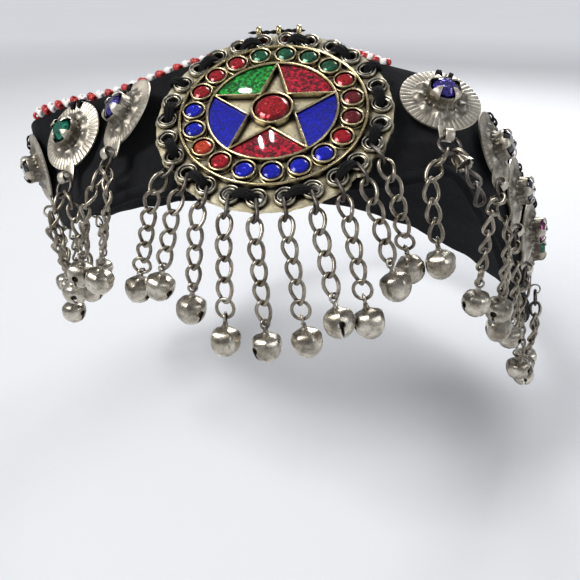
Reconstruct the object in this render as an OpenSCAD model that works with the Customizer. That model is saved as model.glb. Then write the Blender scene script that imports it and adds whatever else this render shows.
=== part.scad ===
// Matha patti: a black cloth headband with a cast star medallion at the front,
// ten stamped discs with prong-set glass, and chain drops that end in jingle bells.
// Millimetres. +Z is up, -Y is the wearer's front, +X is on the right of a front view.
// The origin is the middle of the hollow that the head fills.

/* [Headband] */
// Thickness of the doubled cloth
band_t = 2; // [1:0.1:3]
// Steps between two rows of the band table
band_steps = 5; // [3:1:6]
// Radius of the beaded edge along the top of the band
edging_r = 1.2; // [0.9:0.1:1.5]
// Where the beaded edge starts, along the band from the front centre
edging_from = -88; // [-110:1:-60]
// Where the beaded edge ends
edging_to = 36; // [30:1:60]

/* [Medallion] */
// Radius of the scalloped border plate
plate_r = 31.2; // [30:0.2:32.4]
// Thickness of the border plate
plate_t = 1.2; // [1:0.1:1.5]
// Height of the raised middle above the back of the plate
drum_h = 1.8; // [1.5:0.1:2.2]
// Number of lacing rings round the border
ring_count = 26; // [20:1:30]
// Number of stones round the star
rim_stone_count = 19; // [12:1:22]
// How far the medallion sits above the middle line of the band
medallion_side = 2.6; // [1:0.2:4]
// How far the medallion sits to the left of the band's front centre
medallion_left = 1; // [0:0.5:3]

/* [Discs] */
// Radius of a stamped disc
disc_r = 11; // [9:0.5:12]
// Thickness of the disc's sheet metal
disc_t = 0.7; // [0.5:0.1:1]
// Height of the stone collet above the back of the disc
collet_h = 4.4; // [4:0.2:5]

/* [Chains] */
// Outside length of a curb link
link_l = 6.7; // [6.5:0.1:6.9]
// Outside width of a curb link
link_w = 4.5; // [4.2:0.1:4.6]
// Thickness of the link wire
wire = 0.85; // [0.7:0.05:0.95]
// Radius of a jingle bell
bell_r = 3.8; // [3.5:0.05:3.9]

/* [Hidden] */
STONES = [for (i = [1 : rim_stone_count]) str("rim_stone_", i < 10 ? "0" : "", i)];
INLAYS = [for (i = [1 : 5]) str("star_inlay_", i)];
SIDES = ["right", "left"];
DISCS = [for (s = SIDES) for (i = [1 : 5]) str("disc_", s, "_", i)];
DISC_STONES = [for (s = SIDES) for (i = [1 : 5]) str("disc_stone_", s, "_", i)];
$fn = 48;

// Clearance between pieces that lie on each other
gap = 0.3;
// Clearance between a stone and its bezel
stone_gap = 0.15;
// Overlap that joins the links of one chain
weld = 0.1;

// The band, one row for each section, clockwise seen from above from the front centre.
// bearing, reach from the head's axis, height, lean of the outer face above level,
// cloth above the middle line, cloth below it
BEARING = 0;
REACH = 1;
HEIGHT = 2;
LEAN = 3;
UP = 4;
DOWN = 5;
band_rows = [
    [  0,  70,  46,  57, 30, 20],
    [ 21,  71,  45,  57, 28, 18],
    [ 36,  74,  44,  55, 20, 16],
    [ 52,  76,  27,  40, 19, 19],
    [ 66,  78,   7,  26, 19, 20],
    [ 79,  82, -13,  18, 19, 20],
    [ 95,  87, -24,  12, 19, 20],
    [116,  92, -27,   8, 19, 20],
    [138,  96, -25,   6, 19, 20],
    [160, 100, -21,   6, 19, 20],
    [180, 101, -16,   6, 19, 20],
    [200,  98, -11,   6, 19, 20],
    [219,  94,  -6,   6, 19, 20],
    [236,  91,  -1,   4, 19, 20],
    [253,  91,   3,  -2, 18, 19],
    [269,  93,   8,  -8, 17, 18],
    [284,  96,  14, -12, 17, 17],
    [299,  95,  22,  -2, 18, 18],
    [318,  84,  34,  40, 20, 19],
    [339,  75,  42,  55, 29, 19]
];

// The discs, right side then left side, each from the front to the back.
// station along the band, lift off the cloth, turn, tip, side above the band's middle line,
// roll in its own plane, then its two chains.
// Each chain: links, whether a round ring follows them, outward slope, sideways slope,
// whether a bell ends it
STATION = 0;
LIFT = 1;
TURN = 2;
TIP = 3;
ABOVE = 4;
ROLL = 5;
CHAIN_A = 6;
CHAIN_B = 7;
BELLED = 4;
disc_rows = [
    [  43, 3.2, -17, -2, 8, -8, [5, 0,  0.14,  0.20, 1], [3, 0, -0.10,  0.30, 0]],
    [66.5, 2.2,   0, -4, 8, -8, [5, 1,  0.03, -0.03, 1], [5, 0,  0.03,  0.01, 1]],
    [  89, 1.8,   0,  0, 8, -5, [5, 0,  0.06, -0.04, 1], [4, 1,  0.03,  0.09, 1]],
    [ 112, 2.1,   0,  0, 8,  0, [5, 1,  0.17,  0.05, 1], [5, 1,  0.17,  0.12, 1]],
    [ 136, 1.9,   0,  0, 8,  0, [4, 0, -0.05,  0.09, 1], [4, 0, -0.04,  0.25, 1]],
    [ -44, 4.8, -17,  0, 8,  6, [4, 1,  0.12, -0.18, 1], [5, 1,  0.13, -0.22, 1]],
    [ -67, 3.3,  10, -6, 7, 12, [5, 0, -0.20,  0.03, 1], [5, 0, -0.01,  0.02, 1]],
    [ -93, 2.0,   0,  0, 3, 14, [3, 0, -0.09,  0.08, 1], [5, 0,  0.07,  0.09, 1]],
    [-119, 1.9,   0,  0, 6,  0, [4, 0,  0.11, -0.09, 1], [4, 0,  0.11,  0.05, 1]],
    [-143, 1.9,   0,  0, 7,  0, [5, 0,  0.12, -0.08, 1], [5, 0,  0.14,  0.08, 1]]
];

// The ten drops under the medallion, left to right.
// links, whether a round ring follows them, outward slope, sideways slope,
// links that lie along the cloth before the chain turns down
LINKS = 0;
RINGED = 1;
OUT = 2;
SIDE = 3;
FLAT = 4;
drop_rows = [
    [6, 1, -0.03, -0.31, 0.75],
    [5, 0,  0.06, -0.26, 0],
    [5, 0,  0.11, -0.08, 0],
    [5, 1,  0.25,  0.06, 0],
    [6, 0,  0.13,  0.12, 0],
    [5, 1,  0.20,  0.20, 0],
    [5, 0,  0.34,  0.24, 0],
    [5, 1,  0.30,  0.22, 0],
    [5, 0,  0.23,  0.31, 0],
    [5, 1, -0.03,  0.27, 0.75]
];

row_count = len(band_rows);
medallion_lift = band_t / 2 + gap;

// Medallion details, in the plate's own plane
ring_orbit = 0.894 * plate_r;
ring_r = 2.6;
ring_hole_r = 1.5;
ring_h = 1.9;
ring_phase = 3;
drum_r = 0.79 * plate_r;
drum_edge = 0.7;
drum_edge_h = drum_h + 0.8;
rim_orbit = 0.663 * plate_r;
rim_phase = 103;
rim_bezel_r = 3.0;
rim_stone_r = 2.5;
bezel_h = drum_h + 1.4;
star_circle_r = 0.535 * plate_r;
star_inner_r = 6.3;
star_turn = -1;
star_wall_h = drum_h + 1.4;
wall = 0.5;
centre_bezel_r = 5.5;
centre_bezel_h = drum_h + 1.8;
centre_stone_r = 4.8;
centre_girdle = 1.2;
centre_crown = 1;
rim_girdle = 0.9;
rim_crown = 0.6;
inlay_h = 0.8;
loop_cord_r = 0.6;
loop_cord_l = 16.5;
loop_cord_tail = 9;
loop_spacing = 5.8;
loop_ring_r = 1.25;
loop_wire = 0.4;
loop_centre = [-0.6, plate_r + gap + loop_wire - 0.1, 0.6 * plate_t];

// Disc details
dish_r = 5;
dish_foot_r = 7.5;
dish_h = 0.9;
dish_foot_h = 0.3;
boss_orbit = 6.4;
boss_r = 0.9;
boss_count = 9;
collet_r = 4.4;
pocket_depth = 1.6;
disc_stone_r = 3.5;
disc_stone_girdle = 1.7;
prong_count = 4;
prong_r = 0.45;
prong_from = 1.2;
tab_w = 3.4;
tab_l = 4.2;
tab_loop_r = 2.1;
tab_loop_hole_r = 1.5;
tab_loop_w = 2.2;
tab_loop_at = [0, -disc_r - tab_l, tab_loop_r];
jump_r = 2.8;
jump_wire_r = 0.5;
jump_drop = 0.4;
jump_spread = 28;
flat_links = 0.75;

// Chain details
pitch = link_l - 2 * wire + weld;
end_ring_r = 2.3;
end_ring_wire_r = 0.45;
bell_loop_r = 1.15;
bell_loop_wire_r = 0.32;
bell_slot = 1;
bell_neck = 1.2;
bell_neck_r = 0.8;
turn_links = 1.5;

function unit(v) = v / norm(v);
function row_at(i) =
    let (r = band_rows[(i + row_count) % row_count])
    [r[REACH] * sin(r[BEARING]), -r[REACH] * cos(r[BEARING]), r[HEIGHT], r[LEAN], r[UP], r[DOWN]];
function smooth(u) =
    let (i = floor(u), t = u - i, a = row_at(i - 1), b = row_at(i), c = row_at(i + 1), d = row_at(i + 2))
    0.5 * (2 * b + (c - a) * t + (2 * a - 5 * b + 4 * c - d) * t * t + (3 * b - a - 3 * c + d) * t * t * t);
function place(q) = [q[0], q[1], q[2]];

// Point, direction along the band, outward normal, direction across it, cloth up, cloth down
P = 0;
T = 1;
N = 2;
B = 3;
function band_frame(u) =
    let (q = smooth(u),
         t = unit(place(smooth(u + 0.05)) - place(smooth(u - 0.05))),
         level = unit([t[1], -t[0], 0]),
         raw = cos(q[LEAN]) * level + sin(q[LEAN]) * [0, 0, 1],
         n = unit(raw - (raw * t) * t))
    [place(q), t, n, cross(n, t), q[UP], q[DOWN]];

// Length along the band against position in the table
table_step = 0.1;
lengths = [
    for (i = 0, s = 0;
         i * table_step <= row_count;
         s = s + norm(place(smooth((i + 1) * table_step)) - place(smooth(i * table_step))), i = i + 1)
    [s, i * table_step]
];
band_length = lengths[len(lengths) - 1][0];
function station_frame(s) = band_frame(lookup(s < 0 ? s + band_length : s, lengths));

// Faces between closed rings of points, each ring m points long
function skin(rings, m, closed) =
    [for (i = [0 : rings - (closed ? 1 : 2)])
     for (j = [0 : m - 1])
     for (half = [0, 1])
        let (a = i * m + j, b = i * m + (j + 1) % m,
             c = ((i + 1) % rings) * m + (j + 1) % m, d = ((i + 1) % rings) * m + j)
        half == 0 ? [a, b, c] : [a, c, d]];

// Turns a child so that its X, Y and Z run along three square unit vectors
module turn_to(x, y, z) {
    rotate([atan2(y[2], z[2]), -asin(x[2]), atan2(x[1], x[0])]) children();
}

module on_medallion() {
    f = station_frame(0);
    translate(f[P] - medallion_left * f[T] + medallion_side * f[B] + medallion_lift * f[N])
        turn_to(f[T], f[B], f[N]) children();
}

// Axes of disc k after its own turn, tip and roll
function turned_axes(k) =
    let (f = station_frame(disc_rows[k][STATION]), a = disc_rows[k][TURN], e = disc_rows[k][TIP])
    [cos(a) * f[T] + sin(a) * sin(e) * f[B] - sin(a) * cos(e) * f[N],
     cos(e) * f[B] + sin(e) * f[N],
     sin(a) * f[T] - cos(a) * sin(e) * f[B] + cos(a) * cos(e) * f[N]];
function disc_axes(k) =
    let (t = turned_axes(k), r = disc_rows[k][ROLL])
    [cos(r) * t[0] + sin(r) * t[1], cos(r) * t[1] - sin(r) * t[0], t[2]];
function disc_centre(k) =
    let (f = station_frame(disc_rows[k][STATION]))
    f[P] + disc_rows[k][ABOVE] * f[B] + disc_rows[k][LIFT] * f[N];
function on_disc_point(k, v) =
    let (a = disc_axes(k))
    disc_centre(k) + v[0] * a[0] + v[1] * a[1] + v[2] * a[2];

module on_disc(k) {
    a = disc_axes(k);
    translate(disc_centre(k)) turn_to(a[0], a[1], a[2]) children();
}

module tube(r_out, r_in, h) {
    difference() {
        cylinder(r = r_out, h = h);
        translate([0, 0, -1]) cylinder(r = r_in, h = h + 2);
    }
}

module torus(r, wire_r) {
    rotate_extrude() translate([r, 0]) circle(r = wire_r, $fn = 24);
}

// Headband: one closed loop of doubled cloth
module head_band() {
    edge = 0.6;
    h = band_t / 2;
    count = row_count * band_steps;
    rings = [
        for (i = [0 : count - 1])
            let (f = band_frame(i / band_steps), up = f[4], down = f[5])
            for (q = [[-h, -down + edge], [-0.4 * h, -down], [0.4 * h, -down], [h, -down + edge],
                      [h, up - edge], [0.4 * h, up], [-0.4 * h, up], [-h, up - edge]])
                f[P] + q[0] * f[N] + q[1] * f[B]
    ];
    color([0.05, 0.05, 0.06]) polyhedron(rings, skin(count, 8, true));
}

// Bead edging: the row of seed beads sewn along the top edge, as one strand
module bead_edging() {
    count = 28;
    sides = 8;
    rings = [
        for (i = [0 : count - 1])
            let (f = station_frame(edging_from + (edging_to - edging_from) * i / (count - 1)))
            for (j = [0 : sides - 1])
                f[P] + (f[4] + edging_r + gap) * f[B]
                + edging_r * (cos(360 * j / sides) * f[N] + sin(360 * j / sides) * f[B])
    ];
    first_cap = [[for (j = [0 : sides - 1]) sides - 1 - j]];
    last_cap = [[for (j = [0 : sides - 1]) (count - 1) * sides + j]];
    color([0.8, 0.25, 0.22]) polyhedron(rings, concat(skin(count, sides, false), first_cap, last_cap));
}

function ring_angle(i) = 360 * i / ring_count + ring_phase + 180 / ring_count;
function rim_angle(i) = rim_phase - 360 * i / rim_stone_count;
function star_point(i, r_tip, r_in) =
    let (r = i % 2 == 0 ? r_tip : r_in, a = 90 + star_turn + 36 * i)
    [r * cos(a), r * sin(a)];
module at_ring(i) {
    rotate(ring_angle(i) - 90) translate([ring_orbit, 0, 0]) children();
}
module at_rim(i) {
    rotate(rim_angle(i)) translate([rim_orbit, 0, 0]) children();
}

// A thin wall along the floor, a little longer than the way from one point to another
module floor_wall(p, q, h) {
    d = q - p;
    over = 0.6 * wall;
    translate([p[0], p[1], drum_h - weld]) rotate(atan2(d[1], d[0]))
        translate([-over, -wall / 2, 0]) cube([norm(d) + 2 * over, wall, h - drum_h + weld]);
}

// The border's round edge from one ring to another. It leaves out the three gaps where a
// drop lies across the edge. Its ends stand a little off the rings' middles.
function edge_angle(i, first, last) = ring_angle(i) - 90 + (i == first ? 1.7 : i == last ? -1.7 : 0);
module round_edge(first, last) {
    intersection() {
        cylinder(r = plate_r - 0.4, h = plate_t);
        translate([0, 0, -1]) linear_extrude(plate_t + 2)
            polygon(concat([[0, 0]], [for (i = [first : last])
                2 * plate_r * [cos(edge_angle(i, first, last)), sin(edge_angle(i, first, last))]]));
    }
}

// Medallion plate: the pierced border, the raised drum, every bezel and the star walls
module medallion_plate() {
    color([0.72, 0.68, 0.55]) on_medallion() difference() {
        union() {
            cylinder(r = plate_r - 1.3, h = plate_t);
            round_edge(first_drop_ring + 9 - ring_count, first_drop_ring);
            round_edge(first_drop_ring + 1, first_drop_ring + 7);
            for (i = [0 : ring_count - 1]) at_ring(i) cylinder(r = plate_r - ring_orbit, h = plate_t);
            for (i = [0 : ring_count - 1]) at_ring(i) cylinder(r = ring_r, h = ring_h);
            cylinder(r = drum_r, h = drum_h);
            tube(drum_r, drum_r - drum_edge, drum_edge_h);
            for (i = [0 : rim_stone_count - 1])
                at_rim(i) tube(rim_bezel_r, rim_stone_r + stone_gap, bezel_h);
            tube(star_circle_r + wall, star_circle_r - 0.1, star_wall_h);
            for (i = [0 : 9])
                floor_wall(star_point(i, star_circle_r, star_inner_r),
                           star_point(i + 1, star_circle_r, star_inner_r), star_wall_h);
            tube(centre_bezel_r, centre_stone_r + stone_gap, centre_bezel_h);
        }
        for (i = [0 : ring_count - 1])
            at_ring(i) translate([0, 0, -1]) cylinder(r = ring_hole_r, h = ring_h + 2);
    }
}

// A domed round stone seated on the drum's floor
module round_stone(r, girdle, crown) {
    translate([0, 0, drum_h + stone_gap]) {
        cylinder(r = r, h = girdle);
        translate([0, 0, girdle]) cylinder(r1 = r, r2 = 0.6 * r, h = crown);
    }
}

module centre_stone() {
    color([0.75, 0.02, 0.06]) on_medallion() round_stone(centre_stone_r, centre_girdle, centre_crown);
}

rim_colours = [[0.03, 0.35, 0.15], [0.7, 0.03, 0.06], [0.04, 0.08, 0.7]];
function rim_colour(i) = rim_colours[i < 4 ? 0 : i < 8 ? 1 : i < 12 ? 2 : i < 14 ? 1 : i < 16 ? 2 : 1];

module rim_stone(i) {
    color(rim_colour(i)) on_medallion() at_rim(i) round_stone(rim_stone_r, rim_girdle, rim_crown);
}

RED = [0.7, 0.03, 0.06];
GREEN = [0.03, 0.45, 0.15];
BLUE = [0.04, 0.08, 0.7];
inlay_colours = [GREEN, BLUE, RED, BLUE, RED];

// One glitter panel between two points of the star, seated inside its walls
module star_inlay(i) {
    reach = 2 * star_circle_r;
    middle = 90 + star_turn + 36 * (2 * i + 1);
    shift = wall / 2 + stone_gap;
    corner = star_point(2 * i + 1, star_circle_r, star_inner_r) + 1.25 * shift * [cos(middle), sin(middle)];
    side_a = unit(star_point(2 * i, star_circle_r, star_inner_r)
                  - star_point(2 * i + 1, star_circle_r, star_inner_r));
    side_b = unit(star_point(2 * i + 2, star_circle_r, star_inner_r)
                  - star_point(2 * i + 1, star_circle_r, star_inner_r));
    color(inlay_colours[i]) on_medallion() translate([0, 0, drum_h + stone_gap]) intersection() {
        cylinder(r = star_circle_r - 0.1 - stone_gap, h = inlay_h);
        translate([0, 0, -1]) linear_extrude(3)
            polygon([corner, corner + reach * side_a, corner + reach * side_b]);
    }
}

// Top loops: three brass loops on the upper edge of the border
module top_loops() {
    color([0.8, 0.62, 0.25]) on_medallion()
        for (i = [-1 : 1])
            translate(loop_centre + [i * loop_spacing, loop_ring_r, 0])
                rotate([0, 90, 0]) torus(loop_ring_r, loop_wire);
}

// Loop cord: the short black cord threaded through the brass loops
module loop_cord() {
    color([0.06, 0.05, 0.05]) on_medallion()
        translate(loop_centre + [-loop_cord_tail, loop_ring_r, 0])
            rotate([0, 90, 0]) cylinder(r = loop_cord_r, h = loop_cord_l);
}

// Disc: stamped sheet, bosses, collet with prongs and the curled tab, soldered together
module disc(k) {
    dish = [[0, dish_h], [dish_r, dish_h], [dish_foot_r, dish_foot_h], [disc_r, 0], [disc_r, disc_t],
            [dish_foot_r, dish_foot_h + disc_t], [dish_r, dish_h + disc_t], [0, dish_h + disc_t]];
    color([0.78, 0.77, 0.73]) on_disc(k) {
        rotate_extrude() polygon(dish);
        for (i = [0 : boss_count - 1])
            rotate(360 * i / boss_count) translate([boss_orbit, 0, dish_h + disc_t - 0.2]) sphere(r = boss_r);
        difference() {
            translate([0, 0, dish_h]) cylinder(r = collet_r, h = collet_h - dish_h);
            translate([0, 0, collet_h - pocket_depth]) cylinder(r = disc_stone_r + stone_gap, h = collet_h);
        }
        for (i = [0 : prong_count - 1])
            rotate(360 * (i + 0.5) / prong_count) translate([collet_r - prong_r + 0.15, 0, prong_from])
                cylinder(r = prong_r, h = collet_h);
        translate([-tab_w / 2, tab_loop_at[1], 0]) cube([tab_w, tab_l + 1, disc_t]);
        translate(tab_loop_at - [tab_loop_w / 2, 0, 0]) rotate([0, 90, 0])
            tube(tab_loop_r, tab_loop_hole_r, tab_loop_w);
    }
}

disc_stone_colours = [[0.22, 0.13, 0.5], [0.12, 0.1, 0.25], [0.12, 0.12, 0.2], [0.35, 0.08, 0.25],
                      [0.1, 0.2, 0.15], [0.22, 0.13, 0.5], [0.1, 0.5, 0.36], [0.12, 0.1, 0.25],
                      [0.35, 0.08, 0.25], [0.12, 0.1, 0.25]];

module disc_stone(k) {
    color(disc_stone_colours[k]) on_disc(k) translate([0, 0, collet_h - pocket_depth + stone_gap]) {
        cylinder(r = disc_stone_r, h = disc_stone_girdle);
        translate([0, 0, disc_stone_girdle]) cylinder(r1 = disc_stone_r, r2 = 0.6 * disc_stone_r, h = 1);
    }
}

// A chain's contact points: it starts at p along d0, keeps to it for some links and bends to d1
function bend(d0, d1, i, flat) =
    let (w = max(0, min(1, (i - flat) / turn_links))) unit((1 - w) * d0 + w * d1);
function walk(p, d0, d1, links, flat) =
    [for (i = 0, q = p; i <= links; q = q + pitch * bend(d0, d1, i, flat), i = i + 1) q];

// Down, with slopes outward from the head's axis and sideways round it
function hang(p, out, side) =
    let (o = unit([p[0], p[1], 0]))
    unit([out * o[0] - side * o[1], out * o[1] + side * o[0], -1]);

link_corner = 1.3;
function link_outline(l, w, c) =
    [[l, w - c], [l - c, w], [c - l, w], [-l, w - c], [-l, c - w], [c - l, -w], [l - c, -w], [l, c - w]];

// One flat-sided curb link between two contact points, its width along the unit vector across
module curb_link(p, q, across) {
    d = unit(q - p);
    y = unit(across - (across * d) * d);
    outer = link_outline(link_l / 2, link_w / 2, link_corner);
    inner = link_outline(link_l / 2 - wire, link_w / 2 - wire, 0.6 * link_corner);
    translate((p + q) / 2) turn_to(d, y, cross(d, y))
        linear_extrude(wire, center = true)
            polygon(concat(outer, inner), [[for (i = [0 : 7]) i], [for (i = [8 : 15]) i]]);
}

// A chain along its contact points, each link a quarter turn from the one before
module chain(points, across, ringed) {
    last = len(points) - 1;
    for (i = [0 : last - 1]) {
        d = unit(points[i + 1] - points[i]);
        level = unit(across - (across * d) * d);
        curb_link(points[i], points[i + 1], i % 2 == 0 ? level : cross(d, level));
    }
    if (ringed == 1) {
        d = unit(points[last] - points[last - 1]);
        level = unit(across - (across * d) * d);
        y = last % 2 == 0 ? level : cross(d, level);
        translate(points[last] + (end_ring_r - end_ring_wire_r + weld / 2) * d)
            turn_to(d, y, cross(d, y)) torus(end_ring_r, end_ring_wire_r);
    }
}

// Where the bell's loop goes: the middle of the chain's last bar
function chain_foot(points, ringed) =
    let (last = len(points) - 1, d = unit(points[last] - points[last - 1]))
    points[last] + (ringed == 1 ? 2 * end_ring_r - end_ring_wire_r + weld / 2 : wire / 2) * d;

// A jingle bell under its loop, with the slot and the two holes that end it
module bell(foot, d, across, quarter) {
    level = unit(across - (across * d) * d);
    y = quarter ? cross(d, level) : level;
    neck_at = bell_loop_r + bell_loop_wire_r - weld;
    drop = bell_loop_r + bell_loop_wire_r + bell_neck + bell_r;
    translate(foot) turn_to(d, y, cross(d, y)) {
        torus(bell_loop_r, bell_loop_wire_r);
        translate([neck_at, 0, 0]) rotate([0, 90, 0]) cylinder(r = bell_neck_r, h = bell_neck + 4 * weld);
        difference() {
            translate([drop, 0, 0]) rotate([0, 0, 120]) sphere(r = bell_r);
            translate([drop + 1, -bell_r, -bell_slot / 2]) cube([bell_r, 2 * bell_r, bell_slot]);
            for (s = [-1, 1])
                translate([drop + 1, s * (bell_r - 0.4), -bell_r]) cylinder(r = 0.9, h = 2 * bell_r);
        }
    }
}

// Medallion drops
first_drop_ring = ring_count - 5;
function drop_ring_angle(i) = ring_angle(first_drop_ring + i) - 90;
function drop_start(i) =
    let (f = station_frame(0), a = drop_ring_angle(i))
    f[P] + (ring_orbit * cos(a) - medallion_left) * f[T] + (medallion_side + ring_orbit * sin(a)) * f[B]
    + (medallion_lift + ring_h / 2) * f[N];
function drop_out(i) =
    let (f = station_frame(0), a = drop_ring_angle(i))
    unit(0.4 * (cos(a) * f[T] + sin(a) * f[B]) - 0.6 * f[B]);
function drop_points(i) =
    let (r = drop_rows[i], s = drop_start(i), d0 = drop_out(i))
    walk(s + wire / 2 * d0, d0, hang(s, r[OUT], r[SIDE]), r[LINKS], r[FLAT]);

module medallion_chains() {
    f = station_frame(0);
    color([0.6, 0.58, 0.53])
        for (i = [0 : len(drop_rows) - 1]) chain(drop_points(i), f[N], drop_rows[i][RINGED]);
}

module hung_bell(points, across, ringed) {
    last = len(points) - 1;
    bell(chain_foot(points, ringed), unit(points[last] - points[last - 1]), across,
         (last + ringed) % 2 == 1);
}

module medallion_bells() {
    f = station_frame(0);
    color([0.66, 0.64, 0.6])
        for (i = [0 : len(drop_rows) - 1]) hung_bell(drop_points(i), f[N], drop_rows[i][RINGED]);
}

// Disc drops: a jump ring in the tab's loop carries two chains
function jump_centre(k) = on_disc_point(k, tab_loop_at - [0, jump_drop + jump_r, 0]);
function disc_chain_row(k, hand) = disc_rows[k][hand < 0 ? CHAIN_A : CHAIN_B];
function disc_chain_points(k, hand) =
    let (r = disc_chain_row(k, hand), a = disc_axes(k),
         d0 = hand * sin(jump_spread) * a[0] - cos(jump_spread) * a[1],
         s = jump_centre(k) + (jump_r - jump_wire_r + weld) * d0)
    walk(s, d0, hang(s, r[OUT], r[SIDE]), r[LINKS], flat_links);

module disc_chain_pair(k) {
    a = disc_axes(k);
    translate(jump_centre(k)) turn_to(a[0], a[1], a[2]) torus(jump_r, jump_wire_r);
    for (hand = [-1, 1]) chain(disc_chain_points(k, hand), a[2], disc_chain_row(k, hand)[RINGED]);
}

module disc_bell_pair(k) {
    a = disc_axes(k);
    for (hand = [-1, 1])
        if (disc_chain_row(k, hand)[BELLED] == 1)
            hung_bell(disc_chain_points(k, hand), a[2], disc_chain_row(k, hand)[RINGED]);
}

module disc_chains(first) {
    color([0.55, 0.53, 0.49]) for (k = [first : first + 4]) disc_chain_pair(k);
}

module disc_bells(first) {
    color([0.66, 0.64, 0.6]) for (k = [first : first + 4]) disc_bell_pair(k);
}

head_band();
bead_edging();
medallion_plate();
centre_stone();
top_loops();
loop_cord();
for (i = [0 : 4]) star_inlay(i);
for (i = [0 : rim_stone_count - 1]) rim_stone(i);
for (k = [0 : 9]) disc(k);
for (k = [0 : 9]) disc_stone(k);
medallion_chains();
medallion_bells();
disc_chains(0);  // right_disc_chains
disc_bells(0);  // right_disc_bells
disc_chains(5);  // left_disc_chains
disc_bells(5);  // left_disc_bells
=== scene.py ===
# %% [markdown]
# # A cloth headband with a star medallion, stamped discs and jingling drops
# This lesson dresses a measured CAD model for a photograph-like picture. The CAD says
# where each piece is. Here each piece gets the shape and finish that a jeweller or a
# seamstress gave it: spun rims, pressed ribs, twisted links, lacing and folds of cloth.

# %% Start from the CAD frame
import math
import bpy
import bmesh
import numpy as np
from mathutils import Matrix, Quaternion, Vector


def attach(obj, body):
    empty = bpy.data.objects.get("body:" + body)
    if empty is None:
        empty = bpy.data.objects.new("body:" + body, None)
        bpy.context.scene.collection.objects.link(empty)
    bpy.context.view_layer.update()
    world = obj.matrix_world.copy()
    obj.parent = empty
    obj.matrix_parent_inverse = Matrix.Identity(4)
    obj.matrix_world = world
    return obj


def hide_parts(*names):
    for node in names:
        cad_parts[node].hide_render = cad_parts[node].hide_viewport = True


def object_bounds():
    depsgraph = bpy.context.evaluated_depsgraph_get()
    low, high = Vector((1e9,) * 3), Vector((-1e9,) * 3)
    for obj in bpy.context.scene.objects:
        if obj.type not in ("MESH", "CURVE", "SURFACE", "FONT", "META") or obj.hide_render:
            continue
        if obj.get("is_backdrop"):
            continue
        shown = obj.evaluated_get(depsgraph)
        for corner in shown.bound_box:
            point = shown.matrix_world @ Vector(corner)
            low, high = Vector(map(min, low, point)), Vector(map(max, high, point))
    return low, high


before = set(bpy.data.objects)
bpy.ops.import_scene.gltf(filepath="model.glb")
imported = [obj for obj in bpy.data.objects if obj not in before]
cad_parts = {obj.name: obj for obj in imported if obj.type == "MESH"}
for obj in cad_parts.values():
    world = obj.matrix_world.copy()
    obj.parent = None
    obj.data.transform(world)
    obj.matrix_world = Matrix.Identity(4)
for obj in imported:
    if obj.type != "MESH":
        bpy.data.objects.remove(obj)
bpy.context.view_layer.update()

MM = 0.001


def in_mm(low, high):
    return [round(v / MM, 1) for v in (*low, *high)]


def new_object(name, data):
    """An object in the scene, at the origin and unturned."""
    made = bpy.data.objects.new(name, data)
    bpy.context.scene.collection.objects.link(made)
    return made


# %% [markdown]
# ## Camera
# The picture was taken from a little above, 10 degrees to the right. A real camera is a
# place, a direction and a lens. Copying those three lets each crop be compared like with
# like. The numbers were found by fitting known points of the piece to the photograph.

# %% Camera
LOOK_DOWN, FROM_RIGHT = 28.1, 10
camera_data = bpy.data.cameras.new("camera")
camera_data.sensor_width = camera_data.lens = 36
camera_data.clip_start = 0.01
camera = new_object("camera", camera_data)
camera.location = (0.0298, -0.2201, 0.0800)
camera.rotation_euler = (math.radians(90 - LOOK_DOWN), 0, math.radians(FROM_RIGHT))
bpy.context.scene.camera = camera
print("camera looks down by", LOOK_DOWN, "degrees")

# %% [markdown]
# ## Floor, light and exposure
# Polished metal shows what is around it, so the room matters as much as the material.
# Large soft lights make broad highlights with soft edges. A grey world keeps shadows
# open, and the floor stays plain and pale so that nothing competes with the jewellery.
# Three small panes leave the short white bars of a window in the resin. The camera sees
# the world brighter than the piece does, so the backdrop stays pale.

# %% Floor and lights
FLOOR_HALF, FLOOR_Z = 9, -0.085
floor_mesh = bpy.data.meshes.new("floor")
floor_mesh.from_pydata([(x * FLOOR_HALF, y * FLOOR_HALF, FLOOR_Z) for x, y in ((-1, -1), (1, -1), (1, 1), (-1, 1))],
                       [], [(0, 1, 2, 3)])
floor = new_object("floor", floor_mesh)
floor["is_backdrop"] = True


def soft_light(name, place, aim, size, watts, tint=(1, 1, 1)):
    """A square light panel that faces a point."""
    data = bpy.data.lights.new(name, "AREA")
    data.shape, data.size, data.energy, data.color = "SQUARE", size, watts, tint
    lamp = new_object(name, data)
    lamp.location = place
    lamp.rotation_euler = (Vector(aim) - Vector(place)).to_track_quat("-Z", "Y").to_euler()
    return lamp


soft_light("key", (-0.50, -0.40, 0.60), (0, -0.04, 0), 0.36, 4.2, (1, 0.98, 0.95))
soft_light("fill", (0.75, -0.30, 0.40), (0, 0, 0), 0.4, 1.6, (0.93, 0.96, 1))
soft_light("back", (0.12, 0.68, 0.58), (0, 0, 0.02), 0.5, 7.0)
for number, (place, roll) in enumerate([((-0.137, 0.018, 0.62), -45), ((-0.124, 0.027, 0.62), -45),
                                        ((-0.160, 0.080, 0.617), 45)], 1):
    pane = soft_light(f"pane_{number}", place, (0, -0.06, 0.05), 0.005, 0.013)
    pane.data.shape, pane.data.size_y = "ELLIPSE", 0.016
    rolled = pane.rotation_euler.to_quaternion() @ Quaternion((0, 0, 1), math.radians(roll))
    pane.rotation_euler = rolled.to_euler()
sun_data = bpy.data.lights.new("daylight", "SUN")
sun_data.energy, sun_data.angle = 1.1, math.radians(14)
sun = new_object("daylight", sun_data)
sun.rotation_euler = Vector((0.45, 0.35, -0.8)).to_track_quat("-Z", "Y").to_euler()
world = bpy.data.worlds.new("room")
world.use_nodes = True
walls = world.node_tree.nodes["Background"].inputs
walls["Color"].default_value = (0.66, 0.68, 0.72, 1)
looking = world.node_tree.nodes.new("ShaderNodeLightPath")
level = world.node_tree.nodes.new("ShaderNodeMapRange")
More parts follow.
